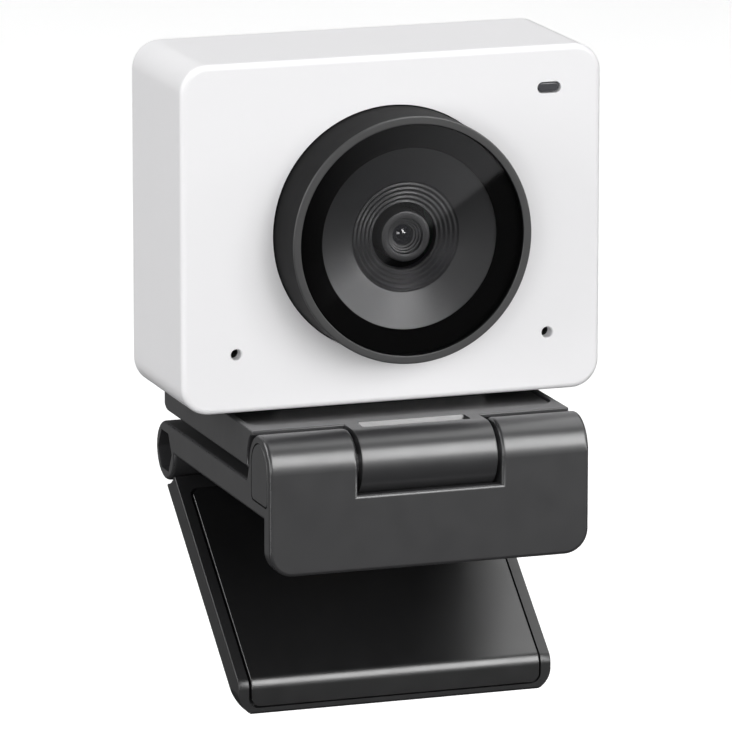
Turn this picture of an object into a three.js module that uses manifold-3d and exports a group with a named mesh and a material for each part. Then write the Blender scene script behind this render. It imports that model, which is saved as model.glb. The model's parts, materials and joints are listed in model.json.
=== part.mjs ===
// Compact webcam on a folding clip that hangs over the top edge of a monitor.
// Millimetres, +Z up, the lens looks along -Y. The origin lies on the arm's rest pad, in the mid plane,
// straight below the camera's front face.
import * as THREE from "three";
import { mergeVertices } from "three/addons/utils/BufferGeometryUtils.js";
import Module from "manifold-3d";

// ---------------------------------------------------------------- clearances
const GLUE = 0.1; // glue line or seat under a piece
const SIDE = 0.3; // round a pad or magnet in its pocket
const SEAM = 0.15; // round a cap, cover or window in its opening
const RUN = 0.3; // hinge barrel in its cavity
const PIN = 0.08; // pin in its bore
const PUSH = 0.05; // insert, chip or washer against its seat

// ---------------------------------------------------------------- camera head
const BODY_W = 57;
const BODY_H = 45.5;
const BODY_D = 21.6;
const BODY_CORNER = 3.7; // corners seen from the front
const BODY_EDGE = 0.8; // rounding round the front and rear rims
const BODY_WALL = 1.6;
const BODY_FACE = 1.8; // front panel
const COVER_T = 1.8;
const COVER_LEDGE = 0.7; // how far the rear cover laps the wall
const BODY_GAP = 0.7; // under the body, over the plate
const BODY_SETBACK = 10.3; // front face behind the tilt axis

const RING_R = 16.1; // lens ring
const RING_PROUD = 7.8;
const RING_RIM = 1.05; // wall beside the glass
const RING_CHAMFER = 0.3;
const RING_FLANGE = 1.8; // step behind the panel
const RING_FLANGE_T = 1.2;
const GLASS_SUNK = 0.4;
const GLASS_T = 0.8;
const TAPE_T = 0.2; // black tape ring that bonds the glass
const WINDOW_R = 11.8; // clear window inside the tape
const DISH_DEPTH = 1.05;
const DISH_R = 7.3; // where the smooth dish ends and the ribs start
const RIBS = 5;
const RIB_DEPTH = 0.22;
const RIBS_DROP = 0.6;
const HOOD_R = 4.35; // opening round the lens
const HOOD_T = 1.1;
const HOOD_SKIRT = 3.2;

const LENS_R = 3.3;
const LENS_FRONT = 4.9; // ahead of the front face
const LENS_L = 11.2;
const LENS_MOUTH_R = 2.5;
const LENS_STOP_R = 1.4;
const LENS_CHAMFER = 0.25;
const LENS_MOUTH_DEPTH = 0.45; // flare of the mouth
const LENS_REAR_LIP = 0.6; // barrel behind the rear glass
const FRONT_GLASS_R = 2;
const FRONT_GLASS_T = 1.5;
const FRONT_GLASS_SUNK = 0.5; // glass crown behind the barrel's front
const FRONT_GLASS_SAG = 0.6; // how far its edge lies behind its crown
const DOME_STEPS = 3;
const REAR_GLASS_R = 2.6;
const REAR_GLASS_T = 2;
const HOLDER_W = 13;
const HOLDER_FOOT = 2.4;
const HOLDER_TOWER = 8;
const HOLDER_WALL = 1.5;
const HOLDER_CORNER = 1;
const HOLDER_ROOF = 0.4; // web over the sensor's well
const HOLDER_ROOM = 0.6; // well wider than the sensor
const SENSOR_W = 7.6;
const SENSOR_T = 0.9;
const FILTER_W = 6.6;
const FILTER_T = 0.3;

const BOARD_Y = 9; // board front, behind the front face
const BOARD_T = 1;
const BOARD_MARGIN = 1.2; // beside the board
const BOARD_MARGIN_UP = 0.7; // over and under it
const BOARD_CORNER = 1;
const BOSS_R = 2;
const BOSS_HOLE_R = 0.95;
const BOSS_SIDE = 13; // boss axis in from the body's side
const BOSS_END = 3.9; // boss axis in from the body's top or bottom
const SCREW_R = 0.8;
const SCREW_HEAD_R = 1.6;
const SCREW_HEAD_T = 1.2;
const SCREW_BITE = 4;
const CHIP_W = 10;
const CHIP_T = 1.2;
const THERMAL_T = 1.6;
const SPREADER_T = 1.5;
const SPREADER_W = 42;
const SPREADER_POST_R = 2;
const SPREADER_CORNER = 1.5;
const SPREADER_PORT_GAP = 1.5; // round the cable port

const MIC_SIDE = 7.3; // hole axis in from the body's side
const MIC_END = 7.7; // hole axis up from the body's bottom
const MIC_HOLE_R = 0.72;
const MIC_BOOT_R = 2.1;
const MIC_W = 3.6;
const MIC_T = 1.1;
const MIC_CORNER = 0.3;
const LED_SIDE = 7.2;
const LED_END = 5.5; // down from the body's top
const LED_W = 2.95;
const LED_H = 1.2;
const LED_SUNK = 0.3;
const LED_FLANGE = 0.6; // window's flange beyond its head
const LED_FLANGE_T = 0.8;
const LED_STEM_IN = 0.3; // window's stem inside its head
const LED_CHIP_T = 0.7;

const USB_W = 8.94; // receptacle shell
const USB_H = 3.26;
const USB_WALL = 0.3;
const USB_END = 9.5; // axis up from the body's bottom
const USB_SUNK = 0.5;
const USB_BASE = 3;
const USB_TONGUE_W = 6.7;
const USB_TONGUE_T = 0.7;
const USB_TONGUE_SHORT = 0.9;
const USB_TONGUE_CORNER = 0.2;

const KEEPER_W = 30; // steel keeper under the body, held by the plate's magnets
const KEEPER_L = 14;
const KEEPER_T = 1.6;
const KEEPER_CORNER = 2;
const KEEPER_EDGE = 0.2;
const KEEPER_TRAY = 1; // wall over the keeper's pocket

// ---------------------------------------------------------------- tilting plate
const PLATE_W = 43;
const PLATE_T = 5.1;
const PLATE_OVERHANG = 1; // rear edge behind the leg axis
const PLATE_REAR_ROUND = 2;
const PLATE_CORNER = 0.8;
const PLATE_EDGE = 0.25;
const PLATE_NOSE_GAP = 0.85; // hollow front edge round the knuckles
const RECESS_SIDE = 0.8;
const RECESS_FRONT = 5.9; // recess front edge behind the tilt axis
const RECESS_REAR = 2.2;
const RECESS_DEPTH = 0.8;
const RECESS_CORNER = 2;
const PLATE_PAD_T = 0.5;
const MAGNET_R = 4;
const MAGNET_T = 2.4;
const MAGNET_X = 9.5;
const BARREL_HALF = 9.15;
const BARREL_R = 4.25;
const SLOT_W = 14.6; // shallow slot across the tongue
const SLOT_L = 2.6;
const SLOT_DEPTH = 0.9;
const SLOT_CORNER = 0.3;
const SLOT_AHEAD = 3.4; // slot rear wall behind the tilt axis

// ---------------------------------------------------------------- clip frame
const CLIP_W = 43.2;
const CLIP_EDGE = 0.35;
const KNUCKLE_R = 4.33;
const AXIS_RISE = 2.45; // tilt axis over the arm's top
const ARM_T = 3.85;
const ARM_REACH = 40; // tilt axis to leg axis
const ARM_FILLET = 0.4;
const LIP_T = 2.63;
const LIP_DROP = 7.1;
const LIP_CORNER = 3.2;
const LIP_EDGE = 0.5;
const LIP_FILLET = 1;
const NOTCH_GAP = 0.55; // beside the tilt barrel
const NOTCH_SILL = 3.4; // notch sill under the tilt axis
const TILT_PIN_R = 1.2;
const WASHER_R = 3;
const CAP_R = 3.15;
const CAP_T = 1.2;
const CAP_DROP = 4.5; // cap bottom under the tilt axis
const CAP_CORNER = 0.8;
const LEG_KNUCKLE_R = 3.95;
const LEG_NOTCH_GAP = 0.6; // beside the leg barrel
const HEX_R = 3; // socket across its points, halved
const HEX_DEPTH = 7.6;
const HEX_HEAD_GAP = 0.25;
const HEX_HEAD_T = 2.4;
const LEG_PIN_R = 1.2;
const ARM_PAD_PROUD = 0.2;
const ARM_PAD_T = 0.9;
const ARM_PAD_W = 36;
const ARM_PAD_FRONT = 2.2; // behind the lip's rear face
const ARM_PAD_REAR = 2.4; // ahead of the thread insert
const LIP_PAD_PROUD = 0.25;
const LIP_PAD_T = 0.8;
const LIP_PAD_W = 36;
const LIP_PAD_TOP = 1.4; // under the arm
const LIP_PAD_H = 4.2;
const PAD_CORNER = 1.2;
const INSERT_R = 4.6; // tripod thread insert
const INSERT_HOLE_R = 3.1;
const INSERT_L = 3;
const INSERT_BACK = 14.5; // insert axis ahead of the leg axis

// ---------------------------------------------------------------- leg
const LEG_W = 43;
const LEG_T = 3.4;
const LEG_EDGE = 0.2;
const LEG_ANGLE = 38.3; // rest angle below the arm, degrees
const LEG_FACE = 0.24; // front face over the leg axis, seen flat
const LEG_TIP = 10.7; // tip face behind the lip's rear face
const LEG_TIP_ROUND = 1.8;
const LEG_HEEL_ROUND = 0.3;
const LEG_TOP_ROUND = 0.5;
const LEG_TIP_CORNER = 3.3;
const LEG_TOP_GAP = 0.5; // hollow top edge round the knuckles
const LEG_BARREL_HALF = 9;
const LEG_BARREL_R = 3.85;
const LEG_PAD_SIDE = 1.4; // frame border beside the pad pocket
const LEG_PAD_TOP = 6.85; // pad top from the leg axis
const LEG_PAD_T = 1;
const LEG_PAD_PROUD = 0.25;
const LEG_PAD_CORNER = 1.3;
const LEG_PAD_SILL = 0.9; // frame left under the pad at the tip

// ---------------------------------------------------------------- mesh fineness
const ARC_STEP = 15; // degrees between points on a rounded corner
const BEVEL_STEPS = 2;
const ROUND = 40; // sides of a large round
const SMALL_ROUND = 18;
const FINE_ROUND = 12; // sides of a screw or a fine hole
const LENS_ROUND = 24;
const WELD = 1e-4;
const OVER = 1; // how far a cutter runs past what it cuts

// ---------------------------------------------------------------- derived places
const armUnder = ARM_PAD_PROUD;
const armTop = armUnder + ARM_T;
const tiltY = -BODY_SETBACK;
const tiltZ = armTop + AXIS_RISE;
const lipFront = tiltY - KNUCKLE_R;
const lipRear = lipFront + LIP_T;
const lipBottom = armUnder - LIP_DROP;
const legY = tiltY + ARM_REACH;
const legZ = armTop - LEG_KNUCKLE_R;
const clipHalf = CLIP_W / 2;
const plateTop = BARREL_R;
const plateBottom = plateTop - PLATE_T;
const plateRear = ARM_REACH + PLATE_OVERHANG;
const headZ = plateTop + BODY_GAP + BODY_H / 2;
const footY = BODY_SETBACK + BODY_D / 2;
const innerW = BODY_W - 2 * BODY_WALL;
const innerH = BODY_H - 2 * BODY_WALL;
const innerCorner = BODY_CORNER - BODY_WALL;
const trayTop = -BODY_H / 2 + KEEPER_T - BODY_GAP + KEEPER_TRAY;
const boardBack = BOARD_Y + BOARD_T;
const boardH = innerH - 2 * BOARD_MARGIN_UP;
const bossX = BODY_W / 2 - BOSS_SIDE;
const bossZ = BODY_H / 2 - BOSS_END;
const micX = BODY_W / 2 - MIC_SIDE;
const micZ = -BODY_H / 2 + MIC_END;
const ledX = BODY_W / 2 - LED_SIDE;
const ledZ = BODY_H / 2 - LED_END;
const usbZ = -BODY_H / 2 + USB_END;
const glassR = RING_R - RING_RIM - PUSH;
const glassRear = -RING_PROUD + GLASS_SUNK + GLASS_T;
const ringSeat = glassRear + TAPE_T + 2 * PUSH;
const ringBore = WINDOW_R + RING_RIM;
const spreaderY = boardBack + PUSH + CHIP_T + PUSH + THERMAL_T + PUSH;
const recessFloor = plateTop - RECESS_DEPTH;
const padTop = recessFloor + GLUE + PLATE_PAD_T;
const insertY = legY - INSERT_BACK;

const wasm = await Module();
wasm.setup();

// ---------------------------------------------------------------- outlines: lists of [x, y, corner radius]
/** Points of an arc about (x, y), from one angle to another in degrees. */
function arc(x, y, radius, from, to, step = ARC_STEP) {
  const steps = Math.max(2, Math.ceil(Math.abs(to - from) / step));
  return Array.from({ length: steps + 1 }, (_, i) => {
    const angle = THREE.MathUtils.degToRad(from + ((to - from) * i) / steps);
    return [x + radius * Math.cos(angle), y + radius * Math.sin(angle)];
  });
}

/** The arc that rounds one corner of an outline, as points. */
function cornerArc(before, here, after, radius) {
  const back = before.clone().sub(here).normalize();
  const ahead = after.clone().sub(here).normalize();
  const half = Math.acos(back.dot(ahead)) / 2;
  const inward = back.clone().add(ahead).normalize();
  const centre = here.clone().addScaledVector(inward, radius / Math.sin(half));
  const start = here.clone().addScaledVector(back, radius / Math.tan(half)).sub(centre);
  const end = here.clone().addScaledVector(ahead, radius / Math.tan(half)).sub(centre);
  const sweep = Math.atan2(start.cross(end), start.dot(end));
  const from = THREE.MathUtils.radToDeg(start.angle());
  const to = from + THREE.MathUtils.radToDeg(sweep);
  return arc(centre.x, centre.y, radius, from, to).map(([x, y]) => new THREE.Vector2(x, y));
}

/** A shape from an outline, its corners rounded where a radius is given. */
function shape(outline) {
  const points = outline.map(([x, y]) => new THREE.Vector2(x, y));
  const rounded = outline.flatMap(([, , radius = 0], i) => {
    const after = points[(i + 1) % points.length];
    return radius > 0 ? cornerArc(points.at(i - 1), points[i], after, radius) : [points[i]];
  });
  return new THREE.Shape(rounded);
}

/** A rectangle between two corners. */
function box2(x0, y0, x1, y1, radius = 0) {
  return [
    [x0, y0, radius],
    [x1, y0, radius],
    [x1, y1, radius],
    [x0, y1, radius],
  ];
}

/** A rectangle about a centre. */
function plaque(width, height, radius = 0, x = 0, y = 0) {
  return box2(x - width / 2, y - height / 2, x + width / 2, y + height / 2, radius);
}

/** A slot with round ends. */
function pill(width, height, x = 0, y = 0) {
  const r = height / 2;
  const reach = width / 2 - r;
  return [...arc(x + reach, y, r, -90, 90), ...arc(x - reach, y, r, 90, 270)];
}

// ---------------------------------------------------------------- solids
/** A manifold-3d solid from a closed three.js geometry. */
function solid(geometry) {
  const bare = geometry.clone();
  bare.deleteAttribute("normal");
  bare.deleteAttribute("uv");
  const merged = mergeVertices(bare, WELD);
  const kept = [];
  const index = merged.index.array;
  for (let i = 0; i < index.length; i += 3) {
    const [a, b, c] = index.slice(i, i + 3);
    if (a !== b && b !== c && c !== a) kept.push(a, b, c);
  }
  const vertProperties = merged.attributes.position.array;
  return new wasm.Manifold(new wasm.Mesh({ numProp: 3, vertProperties, triVerts: new Uint32Array(kept) }));
}

const X = new THREE.Vector3(1, 0, 0);
const Y = new THREE.Vector3(0, 1, 0);
const Z = new THREE.Vector3(0, 0, 1);
const ALONG = {
  x: new THREE.Matrix4().makeBasis(Y, Z, X), // outline in (y, z)
  y: new THREE.Matrix4().makeBasis(X, Z, Y.clone().negate()), // outline in (x, z)
  z: new THREE.Matrix4(), // outline in (x, y)
};

/** An outline carried along one axis from one place to another, its end edges rounded by edge. */
function prism(axis, outline, from, to, edge = 0) {
  const low = axis === "y" ? -to : from;
  const options = {
    depth: to - from - 2 * edge,
    bevelEnabled: edge > 0,
    bevelThickness: edge,
    bevelSize: edge,
    bevelOffset: -edge,
    bevelSegments: BEVEL_STEPS,
  };
  const body = new THREE.ExtrudeGeometry(shape(outline), options);
  return solid(body.translate(0, 0, low + edge).applyMatrix4(ALONG[axis]));
}

/** A profile of [radius, y] turned about the Y axis; it ends on the axis or is closed here. */
function turned(profile, sides = ROUND) {
  const points = profile.map(([radius, y]) => new THREE.Vector2(radius, y));
  if (THREE.ShapeUtils.area(points) < 0) points.reverse();
  const onAxis = points[0].x === 0 && points.at(-1).x === 0;
  if (!onAxis) points.push(points[0].clone());
  return solid(new THREE.LatheGeometry(points, sides));
}

/** A round bar along Y. */
function rodY(radius, from, to, x = 0, z = 0, sides = SMALL_ROUND) {
  const bar = new THREE.CylinderGeometry(radius, radius, to - from, sides);
  return solid(bar.translate(x, (from + to) / 2, z));
}

/** A round bar along X, about (y, z) = (0, 0). */
function rodX(radius, from, to, sides = SMALL_ROUND) {
  const bar = new THREE.CylinderGeometry(radius, radius, to - from, sides);
  return solid(bar.rotateZ(-Math.PI / 2).translate((from + to) / 2, 0, 0));
}

/** A round bar along Z. */
function rodZ(radius, from, to, x = 0, y = 0, sides = SMALL_ROUND) {
  const bar = new THREE.CylinderGeometry(radius, radius, to - from, sides);
  return solid(bar.rotateX(Math.PI / 2).translate(x, y, (from + to) / 2));
}

/** A hexagon, one point along the first axis. */
function hexagon(radius, x = 0, y = 0) {
  return arc(x, y, radius, 0, 300, 60);
}

/** Two places on one side of the mid plane, lower first. */
function span(side, inner, outer) {
  return side < 0 ? [-outer, -inner] : [inner, outer];
}

/** A flat ring about the X axis. */
function washerX(side, inner, outer, bore) {
  const [from, to] = span(side, inner, outer);
  return without(rodX(WASHER_R, from, to), rodX(bore, from - OVER, to + OVER));
}

/** A block from two corners. */
function block(x0, y0, z0, x1, y1, z1) {
  const body = new THREE.BoxGeometry(x1 - x0, y1 - y0, z1 - z0);
  return solid(body.translate((x0 + x1) / 2, (y0 + y1) / 2, (z0 + z1) / 2));
}

/** One body from several. */
function joined(...bodies) {
  return bodies.reduce((sum, body) => sum.add(body));
}

/** A body with others cut away. */
function without(body, ...cutters) {
  return cutters.reduce((rest, cutter) => rest.subtract(cutter), body);
}

// ---------------------------------------------------------------- finishes
/** A plain finish. */
function finish(color, roughness, metalness = 0) {
  return new THREE.MeshStandardMaterial({ color, roughness, metalness });
}

const WHITE = finish(0xececee, 0.55);
const BLACK = finish(0x2f2f31, 0.45);
const RING_BLACK = finish(0x39393b, 0.4);
const RUBBER = finish(0x1c1c1e, 0.7);
const GLASS = finish(0x0d0d0f, 0.05);
const OPTIC = finish(0x2a3038, 0.03);
const STEEL = finish(0xb4b6ba, 0.3, 1);
const BRASS = finish(0xc7a45a, 0.35, 1);
const ALUMINIUM = finish(0xc8cacd, 0.4, 1);
const MAGNET = finish(0xd5d5d2, 0.2, 1);
const CIRCUIT = finish(0x15402c, 0.5);
const CHIP = finish(0x141416, 0.4);
const THERMAL = finish(0x8aa6b4, 0.8);
const DIFFUSER = finish(0x45454c, 0.35);

/** Puts a solid into a group as a named mesh. */
function place(group, name, body, material) {
  const { vertProperties, triVerts } = body.getMesh();
  const geometry = new THREE.BufferGeometry();
  geometry.setAttribute("position", new THREE.BufferAttribute(vertProperties, 3));
  geometry.setIndex(new THREE.BufferAttribute(triVerts, 1));
  const flat = geometry.toNonIndexed();
  flat.computeVertexNormals();
  const mesh = new THREE.Mesh(flat, material);
  mesh.name = name;
  group.add(mesh);
}

const SIDES = [
  ["left", -1],
  ["right", 1],
];

// ================================================================ camera head
// Its frame: the middle of the front face, +Y into the body.

/** White shell: front panel and four walls, with screw bosses behind the panel. */
function frontShell() {
  const skin = prism("y", plaque(BODY_W, BODY_H, BODY_CORNER), 0, BODY_D, BODY_EDGE);
  const room = prism("y", plaque(innerW, innerH, innerCorner), BODY_FACE, BODY_D + OVER);
  const lip = plaque(innerW + 2 * COVER_LEDGE, innerH + 2 * COVER_LEDGE, innerCorner + COVER_LEDGE);
  const rebate = prism("y", lip, BODY_D - COVER_T - GLUE, BODY_D + OVER);
  const ringHole = rodY(RING_R + SEAM, -OVER, BODY_FACE + OVER, 0, 0, ROUND);
  const window = prism("y", pill(LED_W + 2 * SEAM, LED_H + 2 * SEAM, ledX, ledZ), -OVER, BODY_FACE + OVER);
  const mics = SIDES.map(([, side]) => rodY(MIC_HOLE_R, -OVER, BODY_FACE + OVER, side * micX, micZ));
  const seat = plaque(KEEPER_W + 2 * SIDE, KEEPER_L + 2 * SIDE, KEEPER_CORNER, 0, BODY_D / 2);
  const keeperSeat = prism("z", seat, -BODY_H / 2 - OVER, -BODY_H / 2 + KEEPER_T - BODY_GAP);
  const tray = plaque(KEEPER_W + 2 * BODY_WALL, KEEPER_L + 2 * BODY_WALL, KEEPER_CORNER, 0, BODY_D / 2);
  const trayFloor = prism("z", tray, -BODY_H / 2 + BODY_EDGE, trayTop);
  const bosses = screwPlaces().map(([x, z]) => rodY(BOSS_R, BODY_FACE - PUSH, BOARD_Y - PUSH, x, z));
  const holes = screwPlaces().map(([x, z]) => {
    return rodY(BOSS_HOLE_R, BOARD_Y - SCREW_BITE - GLUE, BOARD_Y + OVER, x, z);
  });
  const shell = joined(without(skin, room, rebate), trayFloor, ...bosses);
  return without(shell, ringHole, window, keeperSeat, ...mics, ...holes);
}

/** The four screw axes. */
function screwPlaces() {
  return [1, -1].flatMap((up) => SIDES.map(([, side]) => [side * bossX, up * bossZ]));
}

/** White rear panel with the cable port. */
function rearCover() {
  const lap = COVER_LEDGE - SEAM;
  const outline = plaque(innerW + 2 * lap, innerH + 2 * lap, innerCorner + lap);
  const panel = prism("y", outline, BODY_D - COVER_T, BODY_D);
  const port = prism("y", pill(USB_W + 2 * SEAM, USB_H + 2 * SEAM, 0, usbZ), 0, BODY_D + OVER);
  return without(panel, port);
}

/** Black ring that stands out of the panel; its flange sits behind the panel. */
function lensRing() {
  const flangeFront = BODY_FACE + GLUE;
  const rear = flangeFront + RING_FLANGE_T;
  const half = innerW / 2 - SIDE;
  const room = prism("y", box2(-half, trayTop + SIDE, half, innerH / 2 - SIDE), -RING_PROUD - OVER, rear + OVER);
  const ring = turned([
    [RING_R - RING_RIM, -RING_PROUD + RING_CHAMFER / 2],
    [RING_R - RING_RIM, ringSeat],
    [ringBore, ringSeat],
    [ringBore, rear],
    [RING_R + RING_FLANGE, rear],
    [RING_R + RING_FLANGE, flangeFront],
    [RING_R, flangeFront],
    [RING_R, -RING_PROUD + RING_CHAMFER],
    [RING_R - RING_CHAMFER, -RING_PROUD],
    [RING_R - RING_RIM + RING_CHAMFER / 2, -RING_PROUD],
  ]);
  return ring.intersect(room);
}

/** Flat cover glass. */
function coverGlass() {
  return rodY(glassR, glassRear - GLASS_T, glassRear, 0, 0, ROUND);
}

/** Black tape ring behind the glass. */
function glassTape() {
  const front = glassRear + PUSH;
  return turned([
    [WINDOW_R, front],
    [glassR, front],
    [glassR, front + TAPE_T],
    [WINDOW_R, front + TAPE_T],
  ]);
}

/** Dished hood behind the glass, stepped in fine ribs towards the lens. */
function lensHood() {
  const rim = ringBore - SEAM;
  const front = glassRear + TAPE_T + 3 * PUSH;
  const dishEnd = front + DISH_DEPTH;
  const stepR = (DISH_R - HOOD_R) / RIBS;
  const stepY = RIBS_DROP / RIBS;
  const ribs = Array.from({ length: RIBS }, (_, i) => [
    [DISH_R - i * stepR, dishEnd + i * stepY],
    [DISH_R - i * stepR, dishEnd + i * stepY + RIB_DEPTH],
  ]).flat();
  const mouth = dishEnd + RIBS_DROP;
  return turned([
    [rim, front],
    [WINDOW_R, front],
    ...ribs,
    [HOOD_R, mouth],
    [HOOD_R, mouth + HOOD_T],
    [DISH_R, mouth + HOOD_T],
    [rim - HOOD_T, front + HOOD_T],
    [rim - HOOD_T, front + HOOD_SKIRT],
    [rim, front + HOOD_SKIRT],
  ]);
}

/** Lens barrel with a stepped bore for its glasses. */
function lensBarrel() {
  const front = -LENS_FRONT;
  const rear = front + LENS_L;
  const frontSeat = front + FRONT_GLASS_SUNK + FRONT_GLASS_T + 2 * PUSH;
  const rearSeat = rear - LENS_REAR_LIP - REAR_GLASS_T - 2 * PUSH;
  const profile = [
    [LENS_R - LENS_CHAMFER, front],
    [LENS_MOUTH_R, front],
    [FRONT_GLASS_R + PUSH, front + LENS_MOUTH_DEPTH],
    [FRONT_GLASS_R + PUSH, frontSeat],
    [LENS_STOP_R, frontSeat],
    [LENS_STOP_R, rearSeat],
    [REAR_GLASS_R + PUSH, rearSeat],
    [REAR_GLASS_R + PUSH, rear],
    [LENS_R, rear],
    [LENS_R, front + LENS_CHAMFER],
  ];
  return turned(profile, LENS_ROUND);
}

/** Front glass of the lens, its outer face domed. */
function frontGlass() {
  const front = -LENS_FRONT + FRONT_GLASS_SUNK;
  const rear = front + FRONT_GLASS_T;
  const dome = Array.from({ length: DOME_STEPS + 1 }, (_, i) => {
    const share = i / DOME_STEPS;
    return [FRONT_GLASS_R * share, front + FRONT_GLASS_SAG * share ** 2];
  });
  return turned([...dome, [FRONT_GLASS_R, rear], [0, rear]], LENS_ROUND);
}

/** Rear glass of the lens. */
function rearGlass() {
  const rear = -LENS_FRONT + LENS_L - LENS_REAR_LIP - PUSH;
  return rodY(REAR_GLASS_R, rear - REAR_GLASS_T, rear);
}

/** Square-footed holder that carries the lens barrel over the sensor. */
function lensHolder() {
  const rear = BOARD_Y - PUSH;
  const foot = prism("y", plaque(HOLDER_W, HOLDER_W, HOLDER_CORNER), rear - HOLDER_FOOT, rear);
  const tower = rodY(LENS_R + PUSH + HOLDER_WALL, rear - HOLDER_TOWER, rear - HOLDER_FOOT / 2);
  const room = plaque(SENSOR_W + HOLDER_ROOM, SENSOR_W + HOLDER_ROOM);
  const well = prism("y", room, rear - HOLDER_FOOT + HOLDER_ROOF, rear + OVER);
  const bore = rodY(LENS_R + PUSH, rear - HOLDER_TOWER - OVER, rear - SENSOR_T, 0, 0, ROUND);
  return without(joined(foot, tower), well, bore);
}

/** The screws that hold spreader and board to the bosses, heads to the rear. */
function boardScrew(x, z) {
  const headFront = spreaderY + SPREADER_T + PUSH;
  const headRear = headFront + SCREW_HEAD_T;
  const head = rodY(SCREW_HEAD_R, headFront, headRear, x, z);
  const shank = rodY(SCREW_R, BOARD_Y - SCREW_BITE, headRear - SCREW_HEAD_T / 2, x, z, FINE_ROUND);
  const drive = prism("y", hexagon(SCREW_HEAD_R / 2, x, z), headRear - SCREW_HEAD_T / 2, headRear + OVER);
  return without(joined(head, shank), drive);
}

/** Main board. */
function mainBoard() {
  const outline = plaque(innerW - 2 * BOARD_MARGIN, boardH, BOARD_CORNER);
  const bore = BOSS_HOLE_R + SEAM;
  const holes = screwPlaces().map(([x, z]) => rodY(bore, BOARD_Y - OVER, boardBack + OVER, x, z));
  return without(prism("y", outline, BOARD_Y, boardBack), ...holes);
}

/** Aluminium plate that takes the chip's heat; posts stand it off the board. */
function heatSpreader() {
  const rear = spreaderY + SPREADER_T;
  const plate = prism("y", plaque(SPREADER_W, boardH, SPREADER_CORNER), spreaderY, rear);
  const posts = screwPlaces().map(([x, z]) => {
    return rodY(SPREADER_POST_R, boardBack + PUSH, spreaderY + PUSH, x, z);
  });
  const bore = BOSS_HOLE_R + SEAM;
  const holes = screwPlaces().map(([x, z]) => rodY(bore, boardBack - OVER, rear + OVER, x, z, FINE_ROUND));
  const gap = plaque(USB_W + 2 * SPREADER_PORT_GAP, USB_H + 2 * SPREADER_PORT_GAP, BOARD_CORNER, 0, usbZ);
  return without(joined(plate, ...posts), prism("y", gap, boardBack, rear + OVER), ...holes);
}

/** Shell of the cable port. */
function usbShell() {
  const rear = BODY_D - USB_SUNK;
  const tube = prism("y", pill(USB_W, USB_H, 0, usbZ), boardBack + PUSH, rear);
  const bore = pill(USB_W - 2 * USB_WALL, USB_H - 2 * USB_WALL, 0, usbZ);
  return without(tube, prism("y", bore, boardBack - OVER, rear + OVER));
}

/** Insulator of the cable port: a base and the tongue that carries the contacts. */
function usbTongue() {
  const gap = 2 * (USB_WALL + PUSH);
  const base = prism("y", pill(USB_W - gap, USB_H - gap, 0, usbZ), boardBack + PUSH, boardBack + USB_BASE);
  const tongue = plaque(USB_TONGUE_W, USB_TONGUE_T, USB_TONGUE_CORNER, 0, usbZ);
  const reach = BODY_D - USB_SUNK - USB_TONGUE_SHORT;
  return joined(base, prism("y", tongue, boardBack + USB_BASE - PUSH, reach));
}

/** Clear window in the panel that carries the status light forward. */
function lightPipe() {
  const flangeFront = BODY_FACE + GLUE;
  const flangeRear = flangeFront + LED_FLANGE_T;
  const head = prism("y", pill(LED_W, LED_H, ledX, ledZ), LED_SUNK, flangeFront + PUSH);
  const wide = pill(LED_W + 2 * LED_FLANGE, LED_H + 2 * LED_FLANGE, ledX, ledZ);
  const flange = prism("y", wide, flangeFront, flangeRear);
  const narrow = plaque(LED_W - 2 * LED_STEM_IN, LED_H - 2 * LED_STEM_IN, 0, ledX, ledZ);
  const stem = prism("y", narrow, flangeRear - PUSH, BOARD_Y - LED_CHIP_T - 3 * PUSH);
  return joined(head, flange, stem);
}

/** Rubber boot that carries sound from the panel's hole to the microphone. */
function micBoot(x) {
  const rear = BOARD_Y - MIC_T - 3 * PUSH;
  const tube = rodY(MIC_BOOT_R, BODY_FACE + PUSH, rear, x, micZ);
  return without(tube, rodY(MIC_HOLE_R, 0, rear + OVER, x, micZ, FINE_ROUND));
}

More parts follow.
